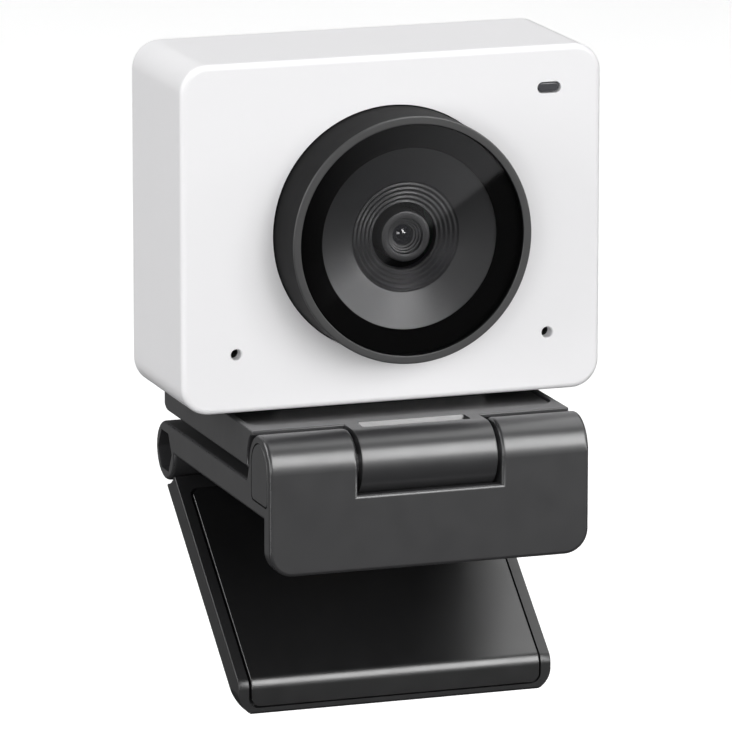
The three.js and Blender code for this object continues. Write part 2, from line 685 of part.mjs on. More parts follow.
/** Everything in and on the camera head. */
function cameraHead() {
  const head = new THREE.Group();
  place(head, "front_shell", frontShell(), WHITE);
  place(head, "rear_cover", rearCover(), WHITE);
  place(head, "lens_ring", lensRing(), RING_BLACK);
  place(head, "cover_glass", coverGlass(), GLASS);
  place(head, "glass_tape", glassTape(), CHIP);
  place(head, "lens_hood", lensHood(), RING_BLACK);
  place(head, "lens_barrel", lensBarrel(), BLACK);
  place(head, "front_lens", frontGlass(), OPTIC);
  place(head, "rear_lens", rearGlass(), OPTIC);
  place(head, "lens_holder", lensHolder(), BLACK);
  const filterRear = BOARD_Y - SENSOR_T - 3 * PUSH;
  const filter = prism("y", plaque(FILTER_W, FILTER_W), filterRear - FILTER_T, filterRear);
  place(head, "infrared_filter", filter, OPTIC);
  const sensor = prism("y", plaque(SENSOR_W, SENSOR_W), BOARD_Y - PUSH - SENSOR_T, BOARD_Y - PUSH);
  place(head, "image_sensor", sensor, CHIP);
  place(head, "main_board", mainBoard(), CIRCUIT);
  const chipY = boardBack + PUSH;
  place(head, "processor", prism("y", plaque(CHIP_W, CHIP_W), chipY, chipY + CHIP_T), CHIP);
  const thermalY = chipY + CHIP_T + PUSH;
  place(head, "thermal_pad", prism("y", plaque(CHIP_W, CHIP_W), thermalY, thermalY + THERMAL_T), THERMAL);
  place(head, "heat_spreader", heatSpreader(), ALUMINIUM);
  screwPlaces().forEach(([x, z], i) => place(head, `board_screw_${i + 1}`, boardScrew(x, z), STEEL));
  place(head, "usb_c_shell", usbShell(), STEEL);
  place(head, "usb_c_tongue", usbTongue(), CHIP);
  place(head, "status_light_window", lightPipe(), DIFFUSER);
  const ledRear = BOARD_Y - PUSH;
  const led = prism("y", plaque(LED_W / 2, LED_H / 2, 0, ledX, ledZ), ledRear - LED_CHIP_T, ledRear);
  place(head, "status_led", led, DIFFUSER);
  for (const [name, side] of SIDES) {
    const can = plaque(MIC_W, MIC_W, MIC_CORNER, side * micX, micZ);
    place(head, `microphone_${name}`, prism("y", can, BOARD_Y - PUSH - MIC_T, BOARD_Y - PUSH), STEEL);
    place(head, `microphone_boot_${name}`, micBoot(side * micX), RUBBER);
  }
  const keeper = plaque(KEEPER_W, KEEPER_L, KEEPER_CORNER - SIDE, 0, BODY_D / 2);
  const keeperLow = padTop + GLUE - headZ;
  place(head, "keeper_plate", prism("z", keeper, keeperLow, keeperLow + KEEPER_T, KEEPER_EDGE), STEEL);
  return head;
}

// ================================================================ tilting plate
// Its frame: the tilt axis, in the mid plane.

/** Outline of the plate's recess or of the pad in it, shrunk by a gap. */
function recessOutline(gap) {
  const half = PLATE_W / 2 - RECESS_SIDE - gap;
  return box2(-half, RECESS_FRONT + gap, half, plateRear - RECESS_REAR - gap, RECESS_CORNER - gap);
}

/** Plate with its hinge barrel and tongue in one piece. */
function tiltPlate() {
  const nose = KNUCKLE_R + PLATE_NOSE_GAP;
  const low = THREE.MathUtils.radToDeg(Math.asin(plateBottom / nose));
  const high = THREE.MathUtils.radToDeg(Math.asin(plateTop / nose));
  const section = [
    ...arc(0, 0, nose, high, low),
    [plateRear, plateBottom, PLATE_REAR_ROUND],
    [plateRear, plateTop],
  ];
  const slab = prism("x", section, -PLATE_W / 2, PLATE_W / 2, PLATE_EDGE);
  const half = PLATE_W / 2;
  const plan = [
    [-half, 0],
    [half, 0],
    [half, plateRear, PLATE_CORNER],
    [-half, plateRear, PLATE_CORNER],
  ];
  const body = slab.intersect(prism("z", plan, plateBottom - OVER, plateTop + OVER));
  const tongue = block(-BARREL_HALF, 0, plateBottom, BARREL_HALF, RECESS_FRONT, plateTop);
  const barrel = rodX(BARREL_R, -BARREL_HALF, BARREL_HALF, ROUND);
  const slot = plaque(SLOT_W, SLOT_L, SLOT_CORNER, 0, SLOT_AHEAD - SLOT_L / 2);
  const recess = prism("z", recessOutline(0), recessFloor, plateTop + OVER);
  const wells = SIDES.map(([, side]) => {
    return rodZ(MAGNET_R + SEAM, recessFloor - MAGNET_T - 2 * GLUE, plateTop, side * MAGNET_X, footY);
  });
  const pinBore = rodX(TILT_PIN_R + PIN, -PLATE_W, PLATE_W);
  const slotCut = prism("z", slot, plateTop - SLOT_DEPTH, plateTop + OVER);
  return without(joined(body, tongue, barrel), slotCut, recess, pinBore, ...wells);
}

/** The plate, its pad, magnets and hinge washers, with the camera head on top. */
function tiltingPlate() {
  const plate = new THREE.Group();
  place(plate, "tilt_plate", tiltPlate(), BLACK);
  const pad = prism("z", recessOutline(SIDE), recessFloor + GLUE, padTop);
  place(plate, "plate_pad", pad, RUBBER);
  for (const [name, side] of SIDES) {
    const top = recessFloor - GLUE;
    place(plate, `plate_magnet_${name}`, rodZ(MAGNET_R, top - MAGNET_T, top, side * MAGNET_X, footY), MAGNET);
    const washer = washerX(side, BARREL_HALF + PUSH, BARREL_HALF + NOTCH_GAP - PUSH, TILT_PIN_R + PIN);
    place(plate, `tilt_washer_${name}`, washer, STEEL);
  }
  const head = cameraHead();
  head.position.set(0, BODY_SETBACK, headZ);
  plate.add(head);
  return plate;
}

// ================================================================ clip frame
// Its frame is the part's own.

/** Side outline of the frame: lip, front knuckle, arm and rear knuckle. */
function clipSection() {
  const meet = THREE.MathUtils.radToDeg(Math.asin((armUnder - legZ) / LEG_KNUCKLE_R));
  return [
    [lipFront, lipBottom, LIP_EDGE],
    [lipRear, lipBottom, LIP_EDGE],
    [lipRear, armUnder, LIP_FILLET],
    ...arc(legY, legZ, LEG_KNUCKLE_R, 180 - meet, 450),
    [tiltY + KNUCKLE_R, armTop, ARM_FILLET],
    ...arc(tiltY, tiltZ, KNUCKLE_R, 0, 180),
  ];
}

/** Front outline that rounds the lip's lower corners. */
function lipOutline() {
  return [
    [-clipHalf, lipBottom, LIP_CORNER],
    [clipHalf, lipBottom, LIP_CORNER],
    [clipHalf, tiltZ + KNUCKLE_R + OVER],
    [-clipHalf, tiltZ + KNUCKLE_R + OVER],
  ];
}

/** Outline of an end cap about the tilt axis, grown by a gap. */
function capOutline(gap) {
  const r = CAP_R + gap;
  return [[-r, -CAP_DROP - gap, CAP_CORNER], [r, -CAP_DROP - gap, CAP_CORNER], ...arc(0, 0, r, 0, 180)];
}

/** Moves a body from the tilt axis to the frame. */
function atTilt(body) {
  return body.translate([0, tiltY, tiltZ]);
}

/** Moves a body from the leg axis to the frame. */
function atLeg(body) {
  return body.translate([0, legY, legZ]);
}

/** Outline of a rest pad's pocket or of the pad, shrunk by a gap. */
function armPadOutline(gap) {
  const half = ARM_PAD_W / 2 - gap;
  const front = lipRear + ARM_PAD_FRONT;
  const rear = insertY - INSERT_R - ARM_PAD_REAR;
  return box2(-half, front + gap, half, rear - gap, PAD_CORNER);
}

/** Outline of the lip pad's pocket or of the pad, shrunk by a gap. */
function lipPadOutline(gap) {
  const top = armUnder - LIP_PAD_TOP;
  return plaque(LIP_PAD_W - 2 * gap, LIP_PAD_H - 2 * gap, PAD_CORNER, 0, top - LIP_PAD_H / 2);
}

/** The clip's frame, cut for both hinges, the caps, the pads and the thread insert. */
function clipFrame() {
  const slab = prism("x", clipSection(), -clipHalf, clipHalf, CLIP_EDGE);
  const depth = ARM_REACH + KNUCKLE_R + LEG_KNUCKLE_R;
  const body = slab.intersect(prism("y", lipOutline(), lipFront - OVER, lipFront + depth + OVER));
  const half = BARREL_HALF + NOTCH_GAP;
  const room = BARREL_R + RUN;
  const behind = Math.max(room, KNUCKLE_R);
  const sill = block(-half, -KNUCKLE_R - OVER, -NOTCH_SILL, half, behind, KNUCKLE_R + OVER);
  const legHalf = LEG_BARREL_HALF + LEG_NOTCH_GAP;
  const legRoom = LEG_BARREL_R + RUN;
  const past = legRoom + LEG_KNUCKLE_R;
  const rear = block(-legHalf, 0, -past, legHalf, past, LEG_KNUCKLE_R + OVER);
  const under = block(-legHalf, -past, -past, legHalf, OVER, armUnder - legZ);
  const capCuts = SIDES.map(([, side]) => {
    return atTilt(prism("x", capOutline(SEAM), ...span(side, clipHalf - CAP_T - GLUE, clipHalf + OVER)));
  });
  const socketCuts = SIDES.map(([, side]) => {
    return atLeg(prism("x", hexagon(HEX_R), ...span(side, clipHalf - HEX_DEPTH, clipHalf + OVER)));
  });
  const armPocket = prism("z", armPadOutline(0), -OVER, ARM_PAD_T + GLUE);
  const lipPocketY = lipRear + LIP_PAD_PROUD - LIP_PAD_T - GLUE;
  const lipPocket = prism("y", lipPadOutline(0), lipPocketY, lipRear + OVER);
  const insertWell = rodZ(INSERT_R + PUSH, armUnder - OVER, armUnder + INSERT_L + GLUE, 0, insertY);
  return without(
    body,
    atTilt(joined(sill, rodX(room, -half, half, ROUND))),
    atTilt(rodX(TILT_PIN_R + PIN, -clipHalf, clipHalf)),
    atLeg(joined(rear, under, rodX(legRoom, -legHalf, legHalf, ROUND))),
    atLeg(rodX(LEG_PIN_R + PIN, -clipHalf, clipHalf)),
    ...capCuts,
    ...socketCuts,
    armPocket,
    lipPocket,
    insertWell,
  );
}

/** Screw or nut with a hexagonal head at the bottom of one socket. */
function hexHead(side) {
  const inner = clipHalf - HEX_DEPTH + PUSH;
  return prism("x", hexagon(HEX_R - HEX_HEAD_GAP), ...span(side, inner, inner + HEX_HEAD_T));
}

/** The frame with everything fixed to it. */
function clip() {
  const group = new THREE.Group();
  place(group, "clip_frame", clipFrame(), BLACK);
  for (const [name, side] of SIDES) {
    const cap = prism("x", capOutline(0), ...span(side, clipHalf - CAP_T, clipHalf));
    place(group, `end_cap_${name}`, atTilt(cap), BLACK);
  }
  const pinEnd = clipHalf - CAP_T - 2 * GLUE;
  place(group, "tilt_pin", atTilt(rodX(TILT_PIN_R, -pinEnd, pinEnd)), STEEL);
  const headFloor = clipHalf - HEX_DEPTH;
  const pin = rodX(LEG_PIN_R, -headFloor - HEX_HEAD_T / 2, headFloor + HEX_HEAD_T);
  place(group, "leg_screw", atLeg(joined(pin, hexHead(-1))), STEEL);
  const nut = without(hexHead(1), rodX(LEG_PIN_R + PIN, 0, clipHalf));
  place(group, "leg_nut", atLeg(nut), STEEL);
  place(group, "arm_pad", prism("z", armPadOutline(SIDE), 0, ARM_PAD_T), RUBBER);
  const lipPadFace = lipRear + LIP_PAD_PROUD;
  place(group, "lip_pad", prism("y", lipPadOutline(SIDE), lipPadFace - LIP_PAD_T, lipPadFace), RUBBER);
  const insert = rodZ(INSERT_R, armUnder, armUnder + INSERT_L, 0, insertY);
  const thread = rodZ(INSERT_HOLE_R, armUnder - OVER, armUnder + INSERT_L + OVER, 0, insertY);
  place(group, "tripod_insert", without(insert, thread), BRASS);
  return group;
}

// ================================================================ leg
// Its frame: the leg axis, the leg lying flat along -Y with its padded face up. The group turns it down.

const legTurn = THREE.MathUtils.degToRad(LEG_ANGLE);
const legTan = Math.tan(legTurn);
const legCos = Math.cos(legTurn);
const legBottom = LEG_FACE - LEG_T;
const legTipReach = (legY - lipRear - LEG_TIP) / legCos;

/** Y of the tip face at a height, moved outwards by grow: upright when the leg hangs at its rest angle. */
function tipY(z, grow) {
  return -legTipReach - grow / legCos + z * legTan;
}

/** Lowest place on the tip when the leg hangs at its rest angle. */
const heelZ = tipY(legBottom, 0) * Math.sin(legTurn) + legBottom * legCos;

/** Side outline of the leg's blade, its padded face and tip grown outwards. */
function bladeSection(grow) {
  const top = LEG_FACE + grow;
  const hollow = LEG_KNUCKLE_R + LEG_TOP_GAP;
  const high = 180 - THREE.MathUtils.radToDeg(Math.asin(top / hollow));
  const low = 180 - THREE.MathUtils.radToDeg(Math.asin((legBottom + LEG_TOP_ROUND) / hollow));
  return [
    [tipY(top, grow), top, LEG_TIP_ROUND + grow],
    [tipY(legBottom, grow), legBottom, LEG_HEEL_ROUND],
    [-hollow * Math.cos(Math.asin(legBottom / hollow)), legBottom, LEG_TOP_ROUND / 2],
    ...arc(0, 0, hollow, low, high),
  ];
}

/** Turns a body made for the hanging leg back to the flat leg. */
function flatLeg(body) {
  return body.rotate([-LEG_ANGLE, 0, 0]);
}

/** Front view of the hanging leg: wide above, its lower corners rounded. */
function tipOutline(half, low, corner) {
  return [
    [-half, low, corner],
    [half, low, corner],
    [half, LEG_KNUCKLE_R * 2],
    [-half, LEG_KNUCKLE_R * 2],
  ];
}

/** The room the pad takes on the blade: between the borders, below its top edge and over the sill. */
function padRoom(gap) {
  const half = LEG_W / 2 - LEG_PAD_SIDE - gap;
  const reach = legTipReach + LEG_T * 2;
  const face = [
    [-half, -reach],
    [half, -reach],
    [half, -LEG_PAD_TOP - gap, LEG_PAD_CORNER],
    [-half, -LEG_PAD_TOP - gap, LEG_PAD_CORNER],
  ];
  const low = heelZ + LEG_PAD_SILL + gap;
  const above = prism("y", tipOutline(half, low, LEG_PAD_CORNER), -ARM_REACH * 2, ARM_REACH);
  return prism("z", face, LEG_FACE - LEG_T * 2, LEG_FACE + OVER).intersect(flatLeg(above));
}

/** Leg frame: blade, neck and hinge barrel, with a pocket for the pad. */
function legFrame() {
  const half = LEG_W / 2;
  const slab = prism("x", bladeSection(0), -half, half, LEG_EDGE);
  const front = prism("y", tipOutline(half, heelZ, LEG_TIP_CORNER), -ARM_REACH * 2, ARM_REACH);
  const blade = slab.intersect(flatLeg(front));
  const neckEnd = -LEG_KNUCKLE_R - LEG_TOP_GAP - LEG_T;
  const neck = block(-LEG_BARREL_HALF, neckEnd, legBottom, LEG_BARREL_HALF, 0, LEG_FACE);
  const barrel = rodX(LEG_BARREL_R, -LEG_BARREL_HALF, LEG_BARREL_HALF, ROUND);
  const core = prism("x", bladeSection(LEG_PAD_PROUD - LEG_PAD_T - GLUE), -LEG_W, LEG_W);
  const pocket = padRoom(0).subtract(core);
  return without(joined(blade, neck, barrel), pocket, rodX(LEG_PIN_R + PIN, -LEG_W, LEG_W));
}

/** Rubber pad on the leg's face, wrapped over the tip. */
function legPad() {
  const outer = prism("x", bladeSection(LEG_PAD_PROUD), -LEG_W / 2, LEG_W / 2);
  const inner = prism("x", bladeSection(LEG_PAD_PROUD - LEG_PAD_T), -LEG_W, LEG_W);
  return outer.intersect(padRoom(SIDE)).subtract(inner);
}

/** The leg, turned down to its rest angle. */
function leg() {
  const group = new THREE.Group();
  place(group, "leg_frame", legFrame(), BLACK);
  place(group, "leg_pad", legPad(), RUBBER);
  for (const [name, side] of SIDES) {
    const far = LEG_BARREL_HALF + LEG_NOTCH_GAP - PUSH;
    const washer = washerX(side, LEG_BARREL_HALF + PUSH, far, LEG_PIN_R + PIN);
    place(group, `leg_washer_${name}`, washer, STEEL);
  }
  group.rotation.x = THREE.MathUtils.degToRad(LEG_ANGLE);
  return group;
}

// ================================================================ the whole webcam
const webcam = new THREE.Group();
webcam.add(clip());
const tilting = tiltingPlate();
tilting.position.set(0, tiltY, tiltZ);
webcam.add(tilting);
const folding = leg();
folding.position.set(0, legY, legZ);
webcam.add(folding);

export default webcam;
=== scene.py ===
"""Compact webcam on a folding monitor clip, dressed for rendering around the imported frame.

The lens looks along -Y and +Z is up. Shapes are worked out in millimetres with numpy and put into
meshes in metres.
"""

from __future__ import annotations

import json
import logging
import math
from collections.abc import Callable, Sequence
from dataclasses import dataclass, field
from enum import Enum

import bmesh
import bpy
import numpy as np
from mathutils import Matrix, Vector

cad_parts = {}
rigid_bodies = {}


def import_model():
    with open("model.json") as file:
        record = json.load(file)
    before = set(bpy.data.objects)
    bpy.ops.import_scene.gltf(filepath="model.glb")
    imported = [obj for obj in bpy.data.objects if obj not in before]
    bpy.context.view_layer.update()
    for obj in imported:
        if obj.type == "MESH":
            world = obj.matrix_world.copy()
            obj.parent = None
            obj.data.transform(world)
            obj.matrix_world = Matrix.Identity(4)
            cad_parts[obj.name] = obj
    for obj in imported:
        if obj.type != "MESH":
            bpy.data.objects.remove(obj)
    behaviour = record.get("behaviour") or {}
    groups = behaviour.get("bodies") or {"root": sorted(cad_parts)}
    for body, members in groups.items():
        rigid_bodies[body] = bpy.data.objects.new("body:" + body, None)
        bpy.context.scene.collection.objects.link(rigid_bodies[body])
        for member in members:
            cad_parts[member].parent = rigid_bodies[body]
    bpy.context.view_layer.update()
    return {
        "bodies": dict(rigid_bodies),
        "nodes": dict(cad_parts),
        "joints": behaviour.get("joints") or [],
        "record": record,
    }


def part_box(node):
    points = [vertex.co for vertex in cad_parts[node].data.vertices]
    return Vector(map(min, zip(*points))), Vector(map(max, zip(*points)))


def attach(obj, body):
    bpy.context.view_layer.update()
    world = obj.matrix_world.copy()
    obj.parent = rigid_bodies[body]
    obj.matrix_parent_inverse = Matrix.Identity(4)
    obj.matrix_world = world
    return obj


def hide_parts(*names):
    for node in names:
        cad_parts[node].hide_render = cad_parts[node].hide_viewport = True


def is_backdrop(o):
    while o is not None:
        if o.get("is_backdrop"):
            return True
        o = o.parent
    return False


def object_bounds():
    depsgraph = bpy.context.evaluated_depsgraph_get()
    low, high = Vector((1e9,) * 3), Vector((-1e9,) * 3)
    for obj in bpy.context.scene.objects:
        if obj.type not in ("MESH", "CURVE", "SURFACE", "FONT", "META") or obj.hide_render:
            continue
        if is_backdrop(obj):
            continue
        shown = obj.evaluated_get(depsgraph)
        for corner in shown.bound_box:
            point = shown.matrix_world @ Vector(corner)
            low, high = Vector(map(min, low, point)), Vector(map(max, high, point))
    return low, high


MM = 0.001
TURN = 2 * math.pi
log = logging.getLogger("webcam")

Points = np.ndarray
Corner = tuple[float, ...]


# ------------------------------------------------------------------ outlines
def arc(
    centre: tuple[float, float], radius: float, start: float, end: float, step: float = 5.0
) -> Points:
    """Points of an arc: centre plus radius times (cosine, sine) of evenly spaced angles.

    Args:
        centre: centre of the arc.
        radius: its radius.
        start: first angle in degrees.
        end: last angle in degrees.
        step: widest angle between neighbours, in degrees.

    Returns:
        An array of shape (n, 2).
    """
    count = max(2, math.ceil(abs(end - start) / step)) + 1
    angles = np.radians(np.linspace(start, end, count))
    return np.asarray(centre) + radius * np.stack([np.cos(angles), np.sin(angles)], axis=1)


def rounded(corners: Sequence[Corner], step: float = 7.5) -> Points:
    """A closed outline whose corners are arcs tangent to both neighbouring sides.

    The arc's centre lies on the corner's bisector, at radius over the sine of the half angle.

    Args:
        corners: (a, b) or (a, b, radius), anticlockwise.
        step: widest angle between neighbouring arc points, in degrees.

    Returns:
        An array of shape (n, 2).
    """
    places = [np.array(corner[:2], dtype=float) for corner in corners]
    pieces = []
    for i, corner in enumerate(corners):
        radius = corner[2] if len(corner) > 2 else 0.0
        here = places[i]
        if radius <= 0:
            pieces.append(here[None, :])
            continue
        back = places[i - 1] - here
        ahead = places[(i + 1) % len(places)] - here
        back /= np.linalg.norm(back)
        ahead /= np.linalg.norm(ahead)
        half = math.acos(float(np.clip(back @ ahead, -1, 1))) / 2
        bisector = (back + ahead) / np.linalg.norm(back + ahead)
        centre = here + bisector * radius / math.sin(half)
        first = here + back * radius / math.tan(half) - centre
        last = here + ahead * radius / math.tan(half) - centre
        sweep = math.atan2(first[0] * last[1] - first[1] * last[0], float(first @ last))
        start = math.degrees(math.atan2(first[1], first[0]))
        pieces.append(arc(tuple(centre), radius, start, start + math.degrees(sweep), step))
    return np.concatenate(pieces)


def rectangle(a0: float, b0: float, a1: float, b1: float, radius: float = 0.0) -> Points:
    """A rectangle between two opposite corners, its corners rounded."""
    return rounded([(a0, b0, radius), (a1, b0, radius), (a1, b1, radius), (a0, b1, radius)])


def plaque(
    width: float, height: float, radius: float = 0.0, at: tuple[float, float] = (0.0, 0.0)
) -> Points:
    """A rounded rectangle about a centre."""
    half_w, half_h = width / 2, height / 2
    return rectangle(at[0] - half_w, at[1] - half_h, at[0] + half_w, at[1] + half_h, radius)


def circle(radius: float, at: tuple[float, float] = (0.0, 0.0), sides: int = 64) -> Points:
    """A circle as a closed outline, anticlockwise."""
    return arc(at, radius, 0, 360 - 360 / sides, 360 / sides)


def pill(width: float, height: float, at: tuple[float, float] = (0.0, 0.0)) -> Points:
    """A slot outline with round ends."""
    radius = height / 2
    reach = width / 2 - radius
    right = arc((at[0] + reach, at[1]), radius, -90, 90, 10)
    left = arc((at[0] - reach, at[1]), radius, 90, 270, 10)
    return np.concatenate([right, left])


def inset(points: Points, by: float) -> Points:
    """Moves each point of a closed outline inwards, along the mitre of its two sides.

    The mitre is the sum of the two inward normals over one plus their dot product.

    Args:
        points: anticlockwise outline of shape (n, 2).
        by: how far each side moves.

    Returns:
        The moved outline.
    """
    ahead = np.roll(points, -1, axis=0) - points
    ahead /= np.linalg.norm(ahead, axis=1, keepdims=True)
    normal = np.stack([-ahead[:, 1], ahead[:, 0]], axis=1)
    before = np.roll(normal, 1, axis=0)
    mitre = (normal + before) / (1 + np.sum(normal * before, axis=1, keepdims=True))
    return points + by * mitre


# ------------------------------------------------------------------ solids
class Axis(Enum):
    """The axis that an outline is carried along, or that a profile is turned about."""

    X = 0
    Y = 1
    Z = 2


class Cut(Enum):
    """How a second body changes the first."""

    FUSE = "UNION"
    CARVE = "DIFFERENCE"
    COMMON = "INTERSECT"


@dataclass
class Body:
    """A closed mesh under construction, in metres, with its object at the origin."""

    obj: bpy.types.Object

    @staticmethod
    def from_faces(points: Points, faces: list[Sequence[int]]) -> Body:
        """Makes a body of points in millimetres; doubles are merged and faces turned outwards."""
        mesh = bpy.data.meshes.new("body")
        mesh.from_pydata((points * MM).tolist(), [], faces)
        work = bmesh.new()
        work.from_mesh(mesh)
        bmesh.ops.remove_doubles(work, verts=work.verts, dist=1e-4 * MM)
        bmesh.ops.recalc_face_normals(work, faces=work.faces)
        work.to_mesh(mesh)
        work.free()
        obj = bpy.data.objects.new("body", mesh)
        bpy.context.scene.collection.objects.link(obj)
        return Body(obj)

    def _bake(self) -> None:
        """Replaces the mesh by what its modifiers make of it."""
        graph = bpy.context.evaluated_depsgraph_get()
        made = bpy.data.meshes.new_from_object(self.obj.evaluated_get(graph))
        old = self.obj.data
        self.obj.modifiers.clear()
        self.obj.data = made
        bpy.data.meshes.remove(old)

    def _combine(self, others: Sequence[Body], how: Cut) -> Body:
        """Joins, cuts or intersects this body with others, which are used up."""
        for other in others:
            change = self.obj.modifiers.new("change", "BOOLEAN")
            change.operation = how.value
            change.solver = "MANIFOLD"
            change.object = other.obj
            self._bake()
            bpy.data.objects.remove(other.obj)
        return self

    def fuse(self, *others: Body) -> Body:
        """This body joined with others."""
        return self._combine(others, Cut.FUSE)

    def carve(self, *others: Body) -> Body:
        """This body with others cut away."""
        return self._combine(others, Cut.CARVE)

    def common(self, *others: Body) -> Body:
        """What this body has in common with others."""
        return self._combine(others, Cut.COMMON)

    def moved(self, y: float, z: float, turn: float = 0.0) -> Body:
        """Turns the mesh about the X axis by degrees, then moves it by millimetres."""
        place = Matrix.Translation(Vector((0, y, z)) * MM)
        self.obj.data.transform(place @ Matrix.Rotation(math.radians(turn), 4, "X"))
        return self


def strip_faces(rows: int, columns: int, closed: bool) -> list[Sequence[int]]:
    """Quads of a grid of rows by columns; the columns wrap, and the rows too if closed."""
    row = np.arange(rows if closed else rows - 1)[:, None]
    column = np.arange(columns)[None, :]
    after_row = (row + 1) % rows
    after_column = (column + 1) % columns
    quads = np.stack(
        [
            row * columns + column,
            row * columns + after_column,
            after_row * columns + after_column,
            after_row * columns + column,
        ],
        axis=-1,
    )
    return quads.reshape(-1, 4).tolist()


def prism(
    axis: Axis,
    outline: Points,
    start: float,
    end: float,
    edge: float = 0.0,
    steps: int = 4,
) -> Body:
    """An outline carried along an axis, its two rims rounded by quarter circles.

    Ring k of a rim is inset by edge times (1 - sine) and lies edge times (1 - cosine) from the end,
    for angles from 0 to 90 degrees.

    Args:
        axis: X carries (y, z), Y carries (x, z) and Z carries (x, y).
        outline: anticlockwise outline of shape (n, 2).
        start: lower end.
        end: upper end.
        edge: rounding of both rims.
        steps: rings in each rounding.

    Returns:
        A closed body.
    """
    angles = np.linspace(0, math.pi / 2, steps + 1) if edge > 0 else np.array([math.pi / 2])
    insets = edge * (1 - np.sin(angles))
    depths = edge * (1 - np.cos(angles)) if edge > 0 else np.zeros(1)
    insets = np.concatenate([insets, insets[::-1]])
    places = np.concatenate([start + depths, (end - depths)[::-1]])
    rings = np.stack([inset(outline, by) for by in insets])
    along = np.broadcast_to(places[:, None], rings.shape[:2])
    order = {Axis.X: (2, 0, 1), Axis.Y: (0, 2, 1), Axis.Z: (0, 1, 2)}[axis]
    flat = np.stack([rings[..., 0], rings[..., 1], along], axis=-1)[..., list(order)]
    count = len(outline)
    faces = strip_faces(len(places), count, closed=False)
    faces.append(list(range(count))[::-1])
    faces.append(list(range(flat.shape[0] * count - count, flat.shape[0] * count)))
    return Body.from_faces(flat.reshape(-1, 3), faces)


def turned(
    profile: Sequence[Corner] | Points, sides: int = 128, at: tuple[float, float] = (0.0, 0.0)
) -> Body:
    """A closed profile of (radius, y) turned about an axis along Y through (x, z).

    A point is (x + radius cosine, y, z + radius sine) for evenly spaced angles.

    Args:
        profile: closed profile; a radius of zero lies on the axis.
        sides: steps round the axis.
        at: the axis, as (x, z).

    Returns:
        A closed body.
    """
    line = np.array([corner[:2] for corner in profile], dtype=float)
    angle = np.arange(sides) * TURN / sides
    x = at[0] + line[:, :1] * np.cos(angle)
    z = at[1] + line[:, :1] * np.sin(angle)
    y = np.broadcast_to(line[:, 1:2], x.shape)
    grid = np.stack([x, y, z], axis=-1)
    return Body.from_faces(grid.reshape(-1, 3), strip_faces(len(line), sides, closed=True))


def block(low: Sequence[float], high: Sequence[float]) -> Body:
    """A plain cutter between two corners."""
    return prism(Axis.Z, rectangle(low[0], low[1], high[0], high[1]), low[2], high[2])


def span(side: int, inner: float, outer: float) -> tuple[float, float]:
    """Two places on one side of the mid plane, lower first."""
    return (-outer, -inner) if side < 0 else (inner, outer)


SIDES = {"left": -1, "right": 1}


# ------------------------------------------------------------------ shader maths
Input = "float | tuple[float, ...] | Value | bpy.types.NodeSocket"


@dataclass(frozen=True)
class Value:
    """A number that varies over a surface: a socket with arithmetic."""

    graph: Graph
    socket: bpy.types.NodeSocket

    def _math(self, operation: str, first: Input, second: Input) -> Value:
        """One Math node."""
        return self.graph.node("ShaderNodeMath", {"operation": operation}, {0: first, 1: second})

    def __add__(self, other: Input) -> Value:
        """Sum."""
        return self._math("ADD", self, other)

    __radd__ = __add__

    def __sub__(self, other: Input) -> Value:
        """Difference."""
        return self._math("SUBTRACT", self, other)

    def __rsub__(self, other: Input) -> Value:
        """Difference, reflected."""
        return self._math("SUBTRACT", other, self)

    def __mul__(self, other: Input) -> Value:
        """Product."""
        return self._math("MULTIPLY", self, other)

    __rmul__ = __mul__

    def __pow__(self, other: Input) -> Value:
        """Power."""
        return self._math("POWER", self, other)

    def __abs__(self) -> Value:
        """Absolute value."""
        return self.graph.node("ShaderNodeMath", {"operation": "ABSOLUTE"}, {0: self})

    def largest(self, other: Input) -> Value:
        """The larger of two."""
        return self._math("MAXIMUM", self, other)

    def step(self, low: float, high: float) -> Value:
        """A smooth step from 0 at low to 1 at high."""
        settings = {"interpolation_type": "SMOOTHSTEP"}
        inputs = {"Value": self, "From Min": low, "From Max": high}
        return self.graph.node("ShaderNodeMapRange", settings, inputs)


